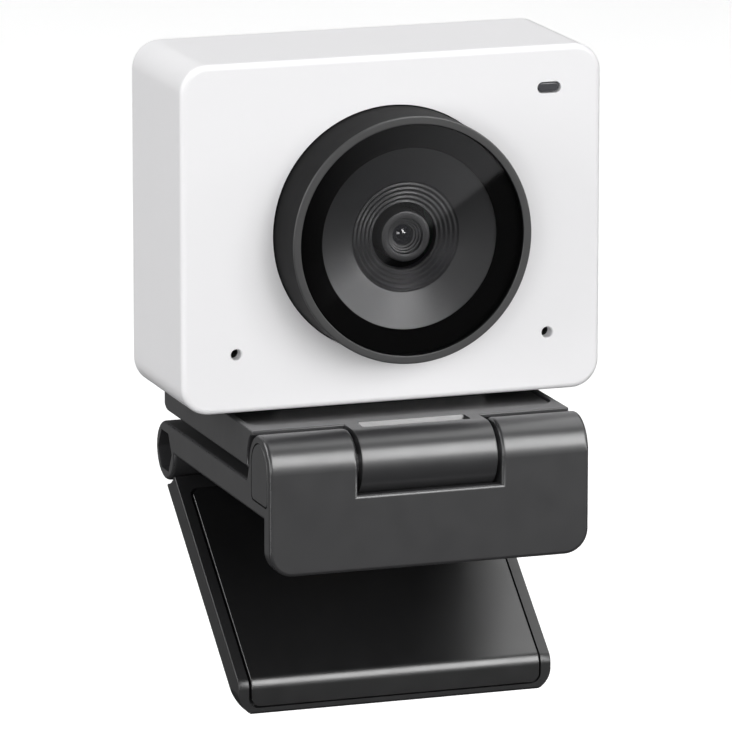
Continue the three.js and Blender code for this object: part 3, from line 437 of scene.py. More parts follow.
class Graph:
    """The node tree of one material."""

    def __init__(self, name: str) -> None:
        """Starts an empty tree."""
        self.material = bpy.data.materials.new(name)
        self.material.use_nodes = True
        self.tree = self.material.node_tree
        self.tree.nodes.clear()
        self.output = self.tree.nodes.new("ShaderNodeOutputMaterial")
        self.coords = self.tree.nodes.new("ShaderNodeTexCoord")

    def node(
        self,
        kind: str,
        settings: dict[str, object] | None = None,
        inputs: dict[str | int, Input] | None = None,
        out: str | int = 0,
    ) -> Value:
        """Adds a node.

        Args:
            kind: the node's type.
            settings: its properties, set first.
            inputs: a value or a link for each socket, by name or number.
            out: which output is wanted.

        Returns:
            That output.
        """
        made = self.tree.nodes.new(kind)
        for key, value in (settings or {}).items():
            setattr(made, key, value)
        for key, value in (inputs or {}).items():
            if isinstance(value, Value):
                self.tree.links.new(value.socket, made.inputs[key])
            elif isinstance(value, bpy.types.NodeSocket):
                self.tree.links.new(value, made.inputs[key])
            else:
                made.inputs[key].default_value = value
        return Value(self, made.outputs[out])

    def place(
        self, centre: Sequence[float] = (0, 0, 0), scale: Sequence[float] = (1, 1, 1)
    ) -> Value:
        """Object coordinates in millimetres about a centre, stretched by a scale."""
        stretch = [s / MM for s in scale]
        shift = [-c * s for c, s in zip(centre, scale)]
        inputs = {"Vector": self.coords.outputs["Object"], "Scale": stretch, "Location": shift}
        return self.node("ShaderNodeMapping", {"vector_type": "POINT"}, inputs)

    def noise(self, where: Value, size: float, detail: float = 2.0, rough: float = 0.5) -> Value:
        """Noise whose features are about size millimetres wide, from 0 to 1."""
        inputs = {"Vector": where, "Scale": 1 / size, "Detail": detail, "Roughness": rough}
        return self.node("ShaderNodeTexNoise", {}, inputs)

    def parts(self, vector: Input) -> list[Value]:
        """The three parts of a vector."""
        made = self.node("ShaderNodeSeparateXYZ", {}, {0: vector})
        return [Value(self, out) for out in made.socket.node.outputs]

    def mix(self, share: Input, low: Sequence[float], high: Sequence[float]) -> Value:
        """A colour between two, by share."""
        settings = {"data_type": "RGBA"}
        inputs = {0: share, 6: (*low, 1.0), 7: (*high, 1.0)}
        return self.node("ShaderNodeMix", settings, inputs, out=2)

    def tint(self, share: Input, base: Value, over: Sequence[float]) -> Value:
        """A varying colour with another laid over it, by share."""
        inputs = {0: share, 6: base, 7: (*over, 1.0)}
        return self.node("ShaderNodeMix", {"data_type": "RGBA"}, inputs, out=2)

    def bump(self, height: Value, depth: float) -> Value:
        """A normal bent by a height that is worth depth millimetres at 1."""
        inputs = {"Height": height, "Distance": depth * MM, "Strength": 1.0}
        return self.node("ShaderNodeBump", {}, inputs)

    def finish(self, shader: Value) -> bpy.types.Material:
        """Links the shader to the output."""
        self.tree.links.new(shader.socket, self.output.inputs["Surface"])
        return self.material


# ------------------------------------------------------------------ finishes
class Rims(Enum):
    """Which rounded edges a finish polishes and lightens a little, as handling does."""

    BOX = "box"
    ABOUT_X = "about_x"
    ABOUT_Y = "about_y"


@dataclass(frozen=True)
class Moulded:
    """Moulded plastic, rubber or glass-filled resin: fine grain, broad mottle and handled rims."""

    name: str
    color: tuple[float, float, float]
    roughness: float
    specular: float = 0.5
    coat: float = 0.0
    grain: float = 0.16
    depth: float = 0.002
    mottle: float = 0.06
    patches: float = 0.04
    wear: float = 0.12
    polish: float = 0.1
    rims: Rims = Rims.BOX

    def rim_share(self, graph: Graph) -> Value:
        """How far a normal lies from the body's own flats and rounds, from 0 to 1."""
        x, y, z = graph.parts(graph.coords.outputs["Normal"])
        if self.rims is Rims.BOX:
            return (1 - abs(x).largest(abs(y)).largest(abs(z))).step(0.03, 0.22)
        along, first, second = (x, y, z) if self.rims is Rims.ABOUT_X else (y, x, z)
        across = (first * first + second * second) ** 0.5
        return (1 - abs(along).largest(across)).step(0.03, 0.22)

    def material(self) -> bpy.types.Material:
        """Builds the node tree.

        Returns:
            A material whose colour, roughness and normal all vary over the surface.
        """
        graph = Graph(self.name)
        where = graph.place()
        fine = graph.noise(where, self.grain, 3.0, 0.6)
        broad = graph.noise(where, self.grain * 60, 3.0, 0.55)
        patch = graph.noise(where, self.grain * 22, 2.0, 0.5)
        rubbed = graph.noise(where, self.grain * 9, 4.0, 0.65).step(0.35, 0.7)
        worn = self.rim_share(graph) * rubbed
        dark = [part * (1 - self.mottle) for part in self.color]
        light = [min(1.0, part * (1 + self.mottle)) for part in self.color]
        handled = [part + (1 - part) * self.wear * 0.5 for part in self.color]
        clean = graph.mix(broad * 0.7 + fine * 0.3, dark, light)
        colour = graph.tint(worn * self.wear, clean, handled)
        roughness = self.roughness + (patch - 0.5) * (2 * self.patches) + (fine - 0.5) * 0.05
        roughness = roughness - worn * self.polish
        normal = graph.bump(fine * 0.75 + patch * 0.25, self.depth)
        inputs = {
            "Base Color": colour,
            "Roughness": roughness,
            "Normal": normal,
            "Specular IOR Level": self.specular,
            "Coat Weight": self.coat,
            "Coat Roughness": 0.12,
        }
        return graph.finish(graph.node("ShaderNodeBsdfPrincipled", {}, inputs))


@dataclass(frozen=True)
class Machined:
    """Turned, rolled or plated metal: fine tool lines, small scratches and dulled patches."""

    name: str
    color: tuple[float, float, float]
    roughness: float
    lines: tuple[float, float, float] = (1.0, 14.0, 14.0)
    line_size: float = 0.9
    depth: float = 0.002
    tarnish: float = 0.25

    def material(self) -> bpy.types.Material:
        """Builds the node tree.

        Returns:
            A metal whose tool lines run across the stretched axis.
        """
        graph = Graph(self.name)
        stretched = graph.place(scale=self.lines)
        plain = graph.place()
        tool = graph.noise(stretched, self.line_size, 4.0, 0.7)
        dull = graph.noise(plain, 2.4, 3.0, 0.6).step(0.4, 0.75)
        dark = [part * (1 - self.tarnish) for part in self.color]
        colour = graph.mix(dull * 0.7 + tool * 0.3, self.color, dark)
        roughness = self.roughness + (tool - 0.5) * 0.16 + dull * 0.14
        inputs = {
            "Base Color": colour,
            "Roughness": roughness,
            "Metallic": 1.0,
            "Normal": graph.bump(tool, self.depth),
        }
        return graph.finish(graph.node("ShaderNodeBsdfPrincipled", {}, inputs))


@dataclass(frozen=True)
class ClearGlass:
    """Clear sheet or lens glass: it lets light through and mirrors by Fresnel's law."""

    name: str
    clear: tuple[float, float, float]
    mirror: tuple[float, float, float]
    ior: float
    roughness: float = 0.015

    def material(self) -> bpy.types.Material:
        """Builds the node tree.

        Returns:
            A mix of a transparent and a mirroring shader, with faint wiping marks in its gloss.
        """
        graph = Graph(self.name)
        marks = graph.noise(graph.place(scale=(1.0, 1.0, 0.35)), 1.6, 4.0, 0.7).step(0.45, 0.8)
        gloss = {
            "Base Color": graph.mix(marks, self.mirror, [part * 0.98 for part in self.mirror]),
            "Roughness": marks * 0.003 + self.roughness,
            "Metallic": 1.0,
        }
        mirrored = graph.node("ShaderNodeBsdfPrincipled", {}, gloss)
        through = graph.node("ShaderNodeBsdfTransparent", {}, {"Color": (*self.clear, 1.0)})
        share = graph.node("ShaderNodeFresnel", {}, {"IOR": self.ior})
        inputs = {0: share, 1: through, 2: mirrored}
        return graph.finish(graph.node("ShaderNodeMixShader", {}, inputs))


@dataclass(frozen=True)
class CoatedLens:
    """A coated lens surface: deep colour rings about the optical axis under a bright gloss."""

    name: str
    centre: tuple[float, float, float]
    radius: float
    deep: tuple[float, float, float] = (0.002, 0.002, 0.003)
    bloom: tuple[float, float, float] = (0.022, 0.022, 0.03)

    def material(self) -> bpy.types.Material:
        """Builds the node tree.

        Returns:
            A near-black gloss with a faint coating tint that changes with the radius.
        """
        graph = Graph(self.name)
        x, _, z = graph.parts(graph.place(centre=self.centre))
        radius = (x * x + z * z) ** 0.5
        zone = (radius * (1 / self.radius)).step(0.25, 0.95)
        dust = graph.noise(graph.place(), 0.5, 3.0, 0.6)
        colour = graph.mix(zone * 0.8 + dust * 0.2, self.deep, self.bloom)
        inputs = {
            "Base Color": colour,
            "Roughness": dust * 0.03 + 0.03,
            "Specular IOR Level": 0.75,
            "Coat Weight": 1.0,
            "Coat Roughness": 0.02,
            "Normal": graph.bump(dust, 0.0004),
        }
        return graph.finish(graph.node("ShaderNodeBsdfPrincipled", {}, inputs))


@dataclass(frozen=True)
class CircuitBoard:
    """Solder mask over copper traces, with bare pads."""

    name: str = "solder_mask_green"
    mask: tuple[float, float, float] = (0.008, 0.06, 0.028)
    trace: tuple[float, float, float] = (0.02, 0.12, 0.055)
    pad: tuple[float, float, float] = (0.6, 0.5, 0.28)

    def material(self) -> bpy.types.Material:
        """Builds the node tree.

        Returns:
            A board with a brick pattern of traces and a few bare pads.
        """
        graph = Graph(self.name)
        where = graph.place()
        x, _, z = graph.parts(where)
        flat = graph.node("ShaderNodeCombineXYZ", {}, {0: x, 1: z})
        sizes = {"Vector": flat, "Scale": 0.8, "Mortar Size": 0.02, "Brick Width": 1.7}
        gaps = graph.node("ShaderNodeTexBrick", {}, sizes, out=1)
        cells = graph.node("ShaderNodeTexVoronoi", {}, {"Vector": flat, "Scale": 0.45})
        bare = 1 - cells.step(0.05, 0.075)
        wash = graph.noise(where, 3.0)
        covered = graph.mix(gaps * 0.8 + wash * 0.2, self.mask, self.trace)
        colour = graph.tint(bare, covered, self.pad)
        inputs = {
            "Base Color": colour,
            "Roughness": 0.38 - gaps * 0.08 - bare * 0.1 + wash * 0.05,
            "Metallic": bare,
            "Normal": graph.bump(gaps + bare, 0.02),
        }
        return graph.finish(graph.node("ShaderNodeBsdfPrincipled", {}, inputs))


@dataclass(frozen=True)
class SpunDish:
    """Satin dish behind the glass: very fine rings about the optical axis."""

    name: str
    centre: tuple[float, float, float]
    color: tuple[float, float, float] = (0.014, 0.014, 0.0147)
    roughness: float = 0.36
    specular: float = 0.8

    def material(self) -> bpy.types.Material:
        """Builds the node tree.

        Returns:
            A satin plastic whose ring pitch is a tenth of a millimetre.
        """
        graph = Graph(self.name)
        where = graph.place(centre=self.centre)
        x, _, z = graph.parts(where)
        radius = (x * x + z * z) ** 0.5
        line = graph.node("ShaderNodeCombineXYZ", {}, {0: radius})
        rings = graph.noise(line, 0.09, 2.0, 0.6)
        broad = graph.noise(where, 3.5, 3.0, 0.55)
        dark = [part * 0.92 for part in self.color]
        light = [part * 1.08 for part in self.color]
        inputs = {
            "Base Color": graph.mix(broad * 0.6 + rings * 0.4, dark, light),
            "Roughness": self.roughness + (rings - 0.5) * 0.05 + (broad - 0.5) * 0.06,
            "Specular IOR Level": self.specular,
            "Normal": graph.bump(rings, 0.0012),
        }
        return graph.finish(graph.node("ShaderNodeBsdfPrincipled", {}, inputs))


@dataclass
class Palette:
    """Every finish of the webcam, made once and handed out by name."""

    optical_axis: tuple[float, float, float]
    made: dict[str, bpy.types.Material] = field(default_factory=dict)

    def moulded(self) -> list[Moulded]:
        """Plastics and rubbers."""
        black = (0.03, 0.03, 0.0315)
        # ring darkens the lens ring's side as painted shade; rim, for its front rim, is a lighter and
        # glossier copy, lighter as painted light
        ring, rim = (0.0035, 0.0035, 0.0038), (0.021, 0.021, 0.0218)
        # leg is the clip's black darkened, as painted shade from the head and arm above the leg
        leg, barrel, tape = (0.012, 0.012, 0.0127), (0.022, 0.022, 0.023), (0.0009,) * 3
        pad, boot, chip = (0.006, 0.006, 0.0064), (0.012,) * 3, (0.012, 0.012, 0.013)
        gel, smoke = (0.3, 0.42, 0.5), (0.05, 0.05, 0.056)
        hinged = {"depth": 0.0008, "rims": Rims.ABOUT_X}
        round_y = {"rims": Rims.ABOUT_Y}
        return [
            Moulded("shell_white", (0.86, 0.856, 0.868), 0.5, specular=0.4, mottle=0.012, wear=0.1),
            Moulded("clip_black", black, 0.33, specular=0.95, wear=0.05, **hinged),
            Moulded("leg_black_painted_shade", leg, 0.36, specular=0.7, **hinged),
            Moulded("plate_black", black, 0.33, specular=0.95, wear=0.05, **hinged),
            Moulded("ring_black", ring, 0.6, specular=0.1, wear=0.05, **round_y),
            Moulded("rim_black", rim, 0.42, specular=0.9, wear=0.08, **round_y),
            Moulded("barrel_black", barrel, 0.36, specular=0.8, **round_y),
            Moulded("tape_black", tape, 0.7, specular=0.02, mottle=0.1, wear=0.0),
            Moulded("pad_rubber", pad, 0.32, specular=1.0, depth=0.001, rims=Rims.ABOUT_X),
            Moulded("boot_rubber", boot, 0.6, grain=0.3, depth=0.006),
            Moulded("chip_black", chip, 0.45, grain=0.1, depth=0.003),
            Moulded("gap_filler", gel, 0.7, grain=0.25, depth=0.01, mottle=0.12),
            Moulded("smoked_window", smoke, 0.22, specular=0.6, coat=0.4),
        ]

    def hard(self) -> list[Machined | ClearGlass | CoatedLens | CircuitBoard | SpunDish]:
        """Metals, glasses, the board and the dish."""
        return [
            Machined("turned_steel", (0.5, 0.5, 0.51), 0.28),
            Machined("nickel_plate", (0.62, 0.61, 0.58), 0.16, lines=(1.0, 1.0, 1.0)),
            Machined("turned_brass", (0.66, 0.45, 0.16), 0.24, lines=(1.0, 1.0, 14.0)),
            Machined("stamped_aluminium", (0.62, 0.63, 0.65), 0.34, lines=(0.5, 1.0, 8.0)),
            ClearGlass("cover_glass", (0.972, 0.972, 0.975), (0.8, 0.8, 0.82), 1.42),
            CoatedLens("coated_lens", self.optical_axis, 1.9),
            CircuitBoard(),
            SpunDish("spun_dish", self.optical_axis),
        ]

    def build(self) -> None:
        """Makes every finish."""
        for spec in [*self.moulded(), *self.hard()]:
            self.made[spec.name] = spec.material()
        log.info("made %d finishes", len(self.made))

    def dress(self, obj: bpy.types.Object, finish: str) -> None:
        """Gives an object one finish on all its faces."""
        obj.data.materials.clear()
        obj.data.materials.append(self.made[finish])

    def dress_part(
        self, obj: bpy.types.Object, finish: str, chosen: Callable[[Points], Points]
    ) -> None:
        """Gives a second finish to some of a piece's faces.

        Args:
            obj: a piece that already wears its main finish.
            finish: the second finish.
            chosen: tells from the faces' middles, in millimetres, which faces wear it.
        """
        faces = obj.data.polygons
        middles = np.zeros(len(faces) * 3)
        faces.foreach_get("center", middles)
        mask = chosen(middles.reshape(-1, 3) / MM)
        obj.data.materials.append(self.made[finish])
        faces.foreach_set("material_index", mask.astype(np.int32))


# ------------------------------------------------------------------ sub-assemblies
def low_high(node: str) -> tuple[Points, Points]:
    """A node's lowest and highest corners at rest, in millimetres."""
    low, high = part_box(node)
    return np.array(low) / MM, np.array(high) / MM


def facing(node: str) -> tuple[float, float]:
    """The middle of a node at rest as (x, z), in millimetres."""
    low, high = low_high(node)
    return float(low[0] + high[0]) / 2, float(low[2] + high[2]) / 2


@dataclass
class Assembly:
    """What every sub-assembly shares: its finishes and the CAD body it rides on."""

    palette: Palette
    body: str = ""

    def finished(
        self, name: str, piece: Body, finish: str, slot: str, *nodes: str
    ) -> bpy.types.Object:
        """Shades, dresses and rides a finished piece.

        Args:
            name: the piece's name.
            piece: its body.
            finish: the finish it wears.
            slot: the record's material slot; not used.
            nodes: the CAD nodes it stands for.

        Returns:
            The piece's object.
        """
        obj = piece.obj
        obj.name = name
        obj.data.name = name
        obj.data.shade_smooth()
        obj.data.set_sharp_from_angle(angle=math.radians(33))
        even = obj.modifiers.new("even_shading", "WEIGHTED_NORMAL")
        even.keep_sharp = True
        even.weight = 90
        self.palette.dress(obj, finish)
        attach(obj, self.body)
        if nodes:
            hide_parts(*nodes)
        log.info("%s: %d faces on %s", name, len(obj.data.polygons), self.body)
        return obj

    def dress_nodes(self, frame: dict, finishes: dict[str, str]) -> None:
        """Gives CAD nodes that stay in view their finish."""
        for node, finish in finishes.items():
            self.palette.dress(frame["nodes"][node], finish)


@dataclass
class CameraHead(Assembly):
    """White shell, lens ring, glass, dish, lens, status light, microphones and cable port."""

    body: str = "camera"
    # shell and cover
    corner: float = 3.7
    edge: float = 0.8
    wall: float = 1.6
    face: float = 1.8
    cover: float = 1.8
    cover_edge: float = 0.2
    ledge: float = 0.7
    seam: float = 0.15
    fit: float = 0.05
    keeper_gap: float = 0.3
    mic_hole: float = 0.72
    mic_flare: float = 0.14
    # lens ring, glass and dish
    ring_rim: float = 1.05
    ring_edge: float = 0.16
    ring_inner_edge: float = 0.1
    ring_flange: float = 1.2
    glass_edge: float = 0.03
    window: float = 11.8
    dish: float = 7.3
    dish_depth: float = 1.25
    dish_wall: float = 1.1
    dish_lip: tuple[float, float] = (0.3, 0.08)
    ribs: int = 5
    rib_depth: float = 0.16
    ribs_drop: float = 0.75
    hood: float = 4.35
    hood_edge: float = 0.12
    # lens barrel: bore radius and length, lip radius and rounding
    barrel_edge: float = 0.15
    barrel_bore: tuple[float, float] = (2.65, 3)
    lip: tuple[float, float] = (2.42, 0.1)
    mouth: tuple[tuple[float, float], ...] = (  # radius and depth of each corner of the steps
        (2.2, 0.42),
        (2.02, 0.45),
        (1.95, 0.75),
        (1.72, 0.78),
        (1.66, 1.05),
        (1.42, 1.08),
        (1.36, 1.5),
        (1.3, 2.2),
    )
    lens: float = 1.28
    lens_front: float = 1.0
    lens_crown: float = 0.62
    lens_rear: float = 2.1
    # status light and cable port
    light_size: tuple[float, float] = (2.95, 1.2)
    light_edge: float = 0.2
    light_flange: float = 1.2
    light_stem: float = 0.6
    port_wall: float = 0.3
    port_edge: float = 0.1
    tongue: tuple[float, float] = (6.7, 0.7)
    tongue_base: float = 3

    def build(self, frame: dict) -> None:
        """Builds and dresses the whole head."""
        self.low, self.high = low_high("front_shell")
        self.width, self.depth, self.height = self.high - self.low
        self.axis = facing("front_shell")
        self.light = facing("status_light_window")
        self.port = facing("usb_c_shell")
        self._shell()
        self._cover()
        self._ring()
        self._glass()
        self._dish()
        self._lens()
        self._status_light()
        self._port()
        self.dress_nodes(
            frame,
            {
                "rear_lens": "coated_lens",
                # the lens holder wears the near-black tape finish as painted shade in the gap round
                # the lens barrel
                "lens_holder": "tape_black",
                "infrared_filter": "coated_lens",
                "image_sensor": "chip_black",
                "main_board": "solder_mask_green",
                "processor": "chip_black",
                "thermal_pad": "gap_filler",
                "heat_spreader": "stamped_aluminium",
                "status_led": "smoked_window",
                "keeper_plate": "turned_steel",
                **{f"microphone_{side}": "nickel_plate" for side in SIDES},
                **{f"microphone_boot_{side}": "boot_rubber" for side in SIDES},
                **{f"board_screw_{i}": "turned_steel" for i in range(1, 5)},
            },
        )

    @property
    def ring_radius(self) -> float:
        """Outer radius of the ring's barrel: the glass, its fit and the rim."""
        low, high = low_high("cover_glass")
        return (high[0] - low[0]) / 2 + self.fit + self.ring_rim

    def _panel(self, shrink: float, start: float, end: float, edge: float = 0.0) -> Body:
        """A slab with the shell's front outline, smaller by shrink all round."""
        size = (self.width - 2 * shrink, self.height - 2 * shrink)
        return prism(Axis.Y, plaque(*size, self.corner - shrink, self.axis), start, end, edge, 6)

    def _hole(self, at: tuple[float, float]) -> Body:
        """A cutter for a microphone hole, whose mouth opens at the front face."""
        inner, outer, deep = self.mic_hole, self.mic_hole + self.mic_flare, self.face + 1
        mouth = [(0, -1), (outer, -1), (outer, 0), (inner, self.mic_flare)]
        return turned([*mouth, (inner, deep), (0, deep)], 32, at)

    def _light_outline(self, grow: float) -> Points:
        """Outline of the status light, larger by grow in both directions."""
        return pill(self.light_size[0] + grow, self.light_size[1] + grow, self.light)

    def _shell(self) -> None:
        """Front panel and four walls, rounded by `edge` and cut for everything that shows."""
        inside = self.face + 1
        skin = self._panel(0, 0, self.depth, self.edge)
        room = self._panel(self.wall, self.face, self.depth + 1)
        step = self.depth - self.cover - 0.1
        rebate = self._panel(self.wall - self.ledge, step, self.depth + 1)
        opening = circle(self.ring_radius + self.seam, self.axis, 128)
        mouth = prism(Axis.Y, opening, -1, inside)
        slot = prism(Axis.Y, self._light_outline(2 * self.seam), -1, inside)
        holes = [self._hole(facing(f"microphone_{side}")) for side in SIDES]
        low, high = low_high("keeper_plate")
        gap = self.keeper_gap
        seat = rectangle(low[0] - gap, low[1] - gap, high[0] + gap, high[1] + gap, 2)
        pocket = prism(Axis.Z, seat, self.low[2] - 1, high[2] + self.fit)
        shell = skin.carve(room, rebate, mouth, slot, pocket, *holes)
        self.finished("shell_front", shell, "shell_white", "shell_white", "front_shell")

    def _cover(self) -> None:
        """Rear panel in the shell's rebate, with the port's opening."""
        shrink = self.wall - self.ledge + self.seam
        inner = self.depth - self.cover
        panel = self._panel(shrink, inner, self.depth, self.cover_edge)
        low, high = low_high("usb_c_shell")
        gap = 2 * self.seam
        opening = pill(high[0] - low[0] + gap, high[2] - low[2] + gap, self.port)
        panel.carve(prism(Axis.Y, opening, inner - 1, self.depth + 1))
        self.finished("shell_rear", panel, "shell_white", "shell_white", "rear_cover")

    def _ring(self) -> None:
        """Lens ring: a turned tube with a flange behind the panel and two rounded front rims; its side
        wears a darker black than its front rim, as painted shade.
        """
        low, high = low_high("lens_ring")
        front, rear = low[1], high[1]
        outer, inner = self.ring_radius, self.ring_radius - self.ring_rim
        bore = self.window + self.ring_rim
        seat = low_high("lens_hood")[0][1] - self.fit
        e, f = self.ring_edge, self.ring_inner_edge
        profile = np.concatenate(
            [
                arc((outer - e, front + e), e, 0, -90, 15),
                arc((inner + f, front + f), f, -90, -180, 30),
                [(inner, seat), (bore, seat), (bore, rear), (high[0], rear)],
                [(high[0], rear - self.ring_flange), (outer, rear - self.ring_flange)],
            ]
        )
        ring = turned(profile, 160, self.axis)
        obj = self.finished("ring", ring, "ring_black", "ring_black", "lens_ring")
        # the front rim faces wear the lighter copy and the side keeps the darker one: painted shade on
        # the side
        self.palette.dress_part(obj, "rim_black", lambda at: at[:, 1] < front + 0.9 * e)

    def _glass(self) -> None:
        """Flat cover glass with a blackened edge, and the black tape ring behind it."""
        low, high = low_high("cover_glass")
        radius = (high[0] - low[0]) / 2
        outline = circle(radius, self.axis, 128)
        glass = prism(Axis.Y, outline, low[1], high[1], self.glass_edge, 2)
        sheet = self.finished("glass", glass, "cover_glass", "cover_glass", "cover_glass")
        self.palette.dress_part(
            sheet,
            "tape_black",
            lambda at: np.hypot(at[:, 0] - self.axis[0], at[:, 2] - self.axis[1]) > radius / 2,
        )
        low, high = low_high("glass_tape")
        section = rectangle(self.window, low[1], (high[0] - low[0]) / 2, high[1], 0.03)
        tape = turned(section, 160, self.axis)
        self.finished("tape", tape, "tape_black", "tape_black", "glass_tape")

    def _dish(self) -> None:
        """Dish behind the glass.

        The dish falls in a straight line from the window to the ribs. Over the ribs the fall goes
        on and a raised cosine of the radius adds `ribs` ridges.
        """
        low, high = low_high("lens_hood")
        rim = (high[0] - low[0]) / 2
        front = low[1]
        across = np.linspace(0, 1, self.ribs * 14 + 1)
        radius = self.dish + (self.hood - self.dish) * across
        wave = 0.5 - 0.5 * np.cos(across * self.ribs * TURN)
        fall = self.dish_depth + self.ribs_drop * across + self.rib_depth * wave
        mouth = front + self.dish_depth + self.ribs_drop
        back, lip = mouth + self.dish_wall, self.dish_lip
        e = self.hood_edge
        profile = np.concatenate(
            [
                [(rim, front), (self.window + lip[0], front), (self.window, front + lip[1])],
                np.stack([radius, front + fall], axis=1),
                arc((self.hood + e, mouth + e), e, 225, 180, 15),
                [(self.hood, back), (self.dish, back), (rim - self.dish_wall, front + self.dish_wall)],
                [(rim - self.dish_wall, high[1]), (rim, high[1])],
            ]
        )
        dish = turned(profile, 160, self.axis)
        self.finished("dish", dish, "spun_dish", "ring_black", "lens_hood")

    def _lens(self) -> None:
        """Lens barrel with a flat front, a stepped mouth and a retaining ring, and its front glass.

        The glass is a sphere's cap about the axis: y rises with the square of the radius.
        """
        low, high = low_high("lens_barrel")
        radius = (high[0] - low[0]) / 2
        front, rear = low[1], high[1]
        e, (lip, lip_edge) = self.barrel_edge, self.lip
        bore, length = self.barrel_bore
        mouth = np.array(self.mouth)
        narrow = (mouth[-1, 0], rear - length)
        profile = np.concatenate(
            [
                arc((radius - e, front + e), e, 0, -90, 30),
                arc((lip, front + lip_edge), lip_edge, -90, -180, 30),
                mouth + [0, front],
                [narrow, (bore, rear - length), (bore, rear), (radius, rear)],
            ]
        )
        barrel = turned(profile, 96, self.axis)
        self.finished("lens_tube", barrel, "barrel_black", "lens_black", "lens_barrel")
        share = np.linspace(0, 1, 12)
        rise = front + self.lens_front + self.lens_crown * share**2
        crown = np.stack([self.lens * share, rise], axis=1)
        back = front + self.lens_rear
        glass = turned(np.concatenate([crown, [(self.lens, back), (0, back)]]), 64, self.axis)
        self.finished("lens_glass", glass, "coated_lens", "optic_glass", "front_lens")

    def _status_light(self) -> None:
        """Smoked window of the status light: a rounded head, a flange and a stem behind it."""
        low, high = low_high("status_light_window")
        wide, tall = self.light_size
        face = self.face
        head = prism(Axis.Y, self._light_outline(0), low[1], face + 0.2, self.light_edge, 4)
        flange = prism(Axis.Y, self._light_outline(self.light_flange), face + 0.1, face + 0.9)
        slim = plaque(wide - self.light_stem, tall - self.light_stem, 0, self.light)
        window = head.fuse(flange, prism(Axis.Y, slim, face + 0.8, high[1]))
        self.finished("status_light", window, "smoked_window", "light_window", "status_light_window")

    def _port(self) -> None:
        """Cable port: a drawn tube with a rolled mouth, and the tongue that carries its contacts."""
        low, high = low_high("usb_c_shell")
        wide, tall = high[0] - low[0], high[2] - low[2]
        tube = prism(Axis.Y, pill(wide, tall, self.port), low[1], high[1], self.port_edge, 3)
        hollow = pill(wide - 2 * self.port_wall, tall - 2 * self.port_wall, self.port)
        tube.carve(prism(Axis.Y, hollow, low[1] - 1, high[1] + 1))
        self.finished("port_tube", tube, "turned_steel", "steel", "usb_c_shell")
        low, high = low_high("usb_c_tongue")
        snug = 2 * (self.port_wall + self.fit)
        end = low[1] + self.tongue_base
        base = prism(Axis.Y, pill(wide - snug, tall - snug, self.port), low[1], end)
        strip = plaque(*self.tongue, 0.2, self.port)
        blade = prism(Axis.Y, strip, end - 0.1, high[1], self.port_edge)
        self.finished("port_tongue", base.fuse(blade), "chip_black", "chip_black", "usb_c_tongue")


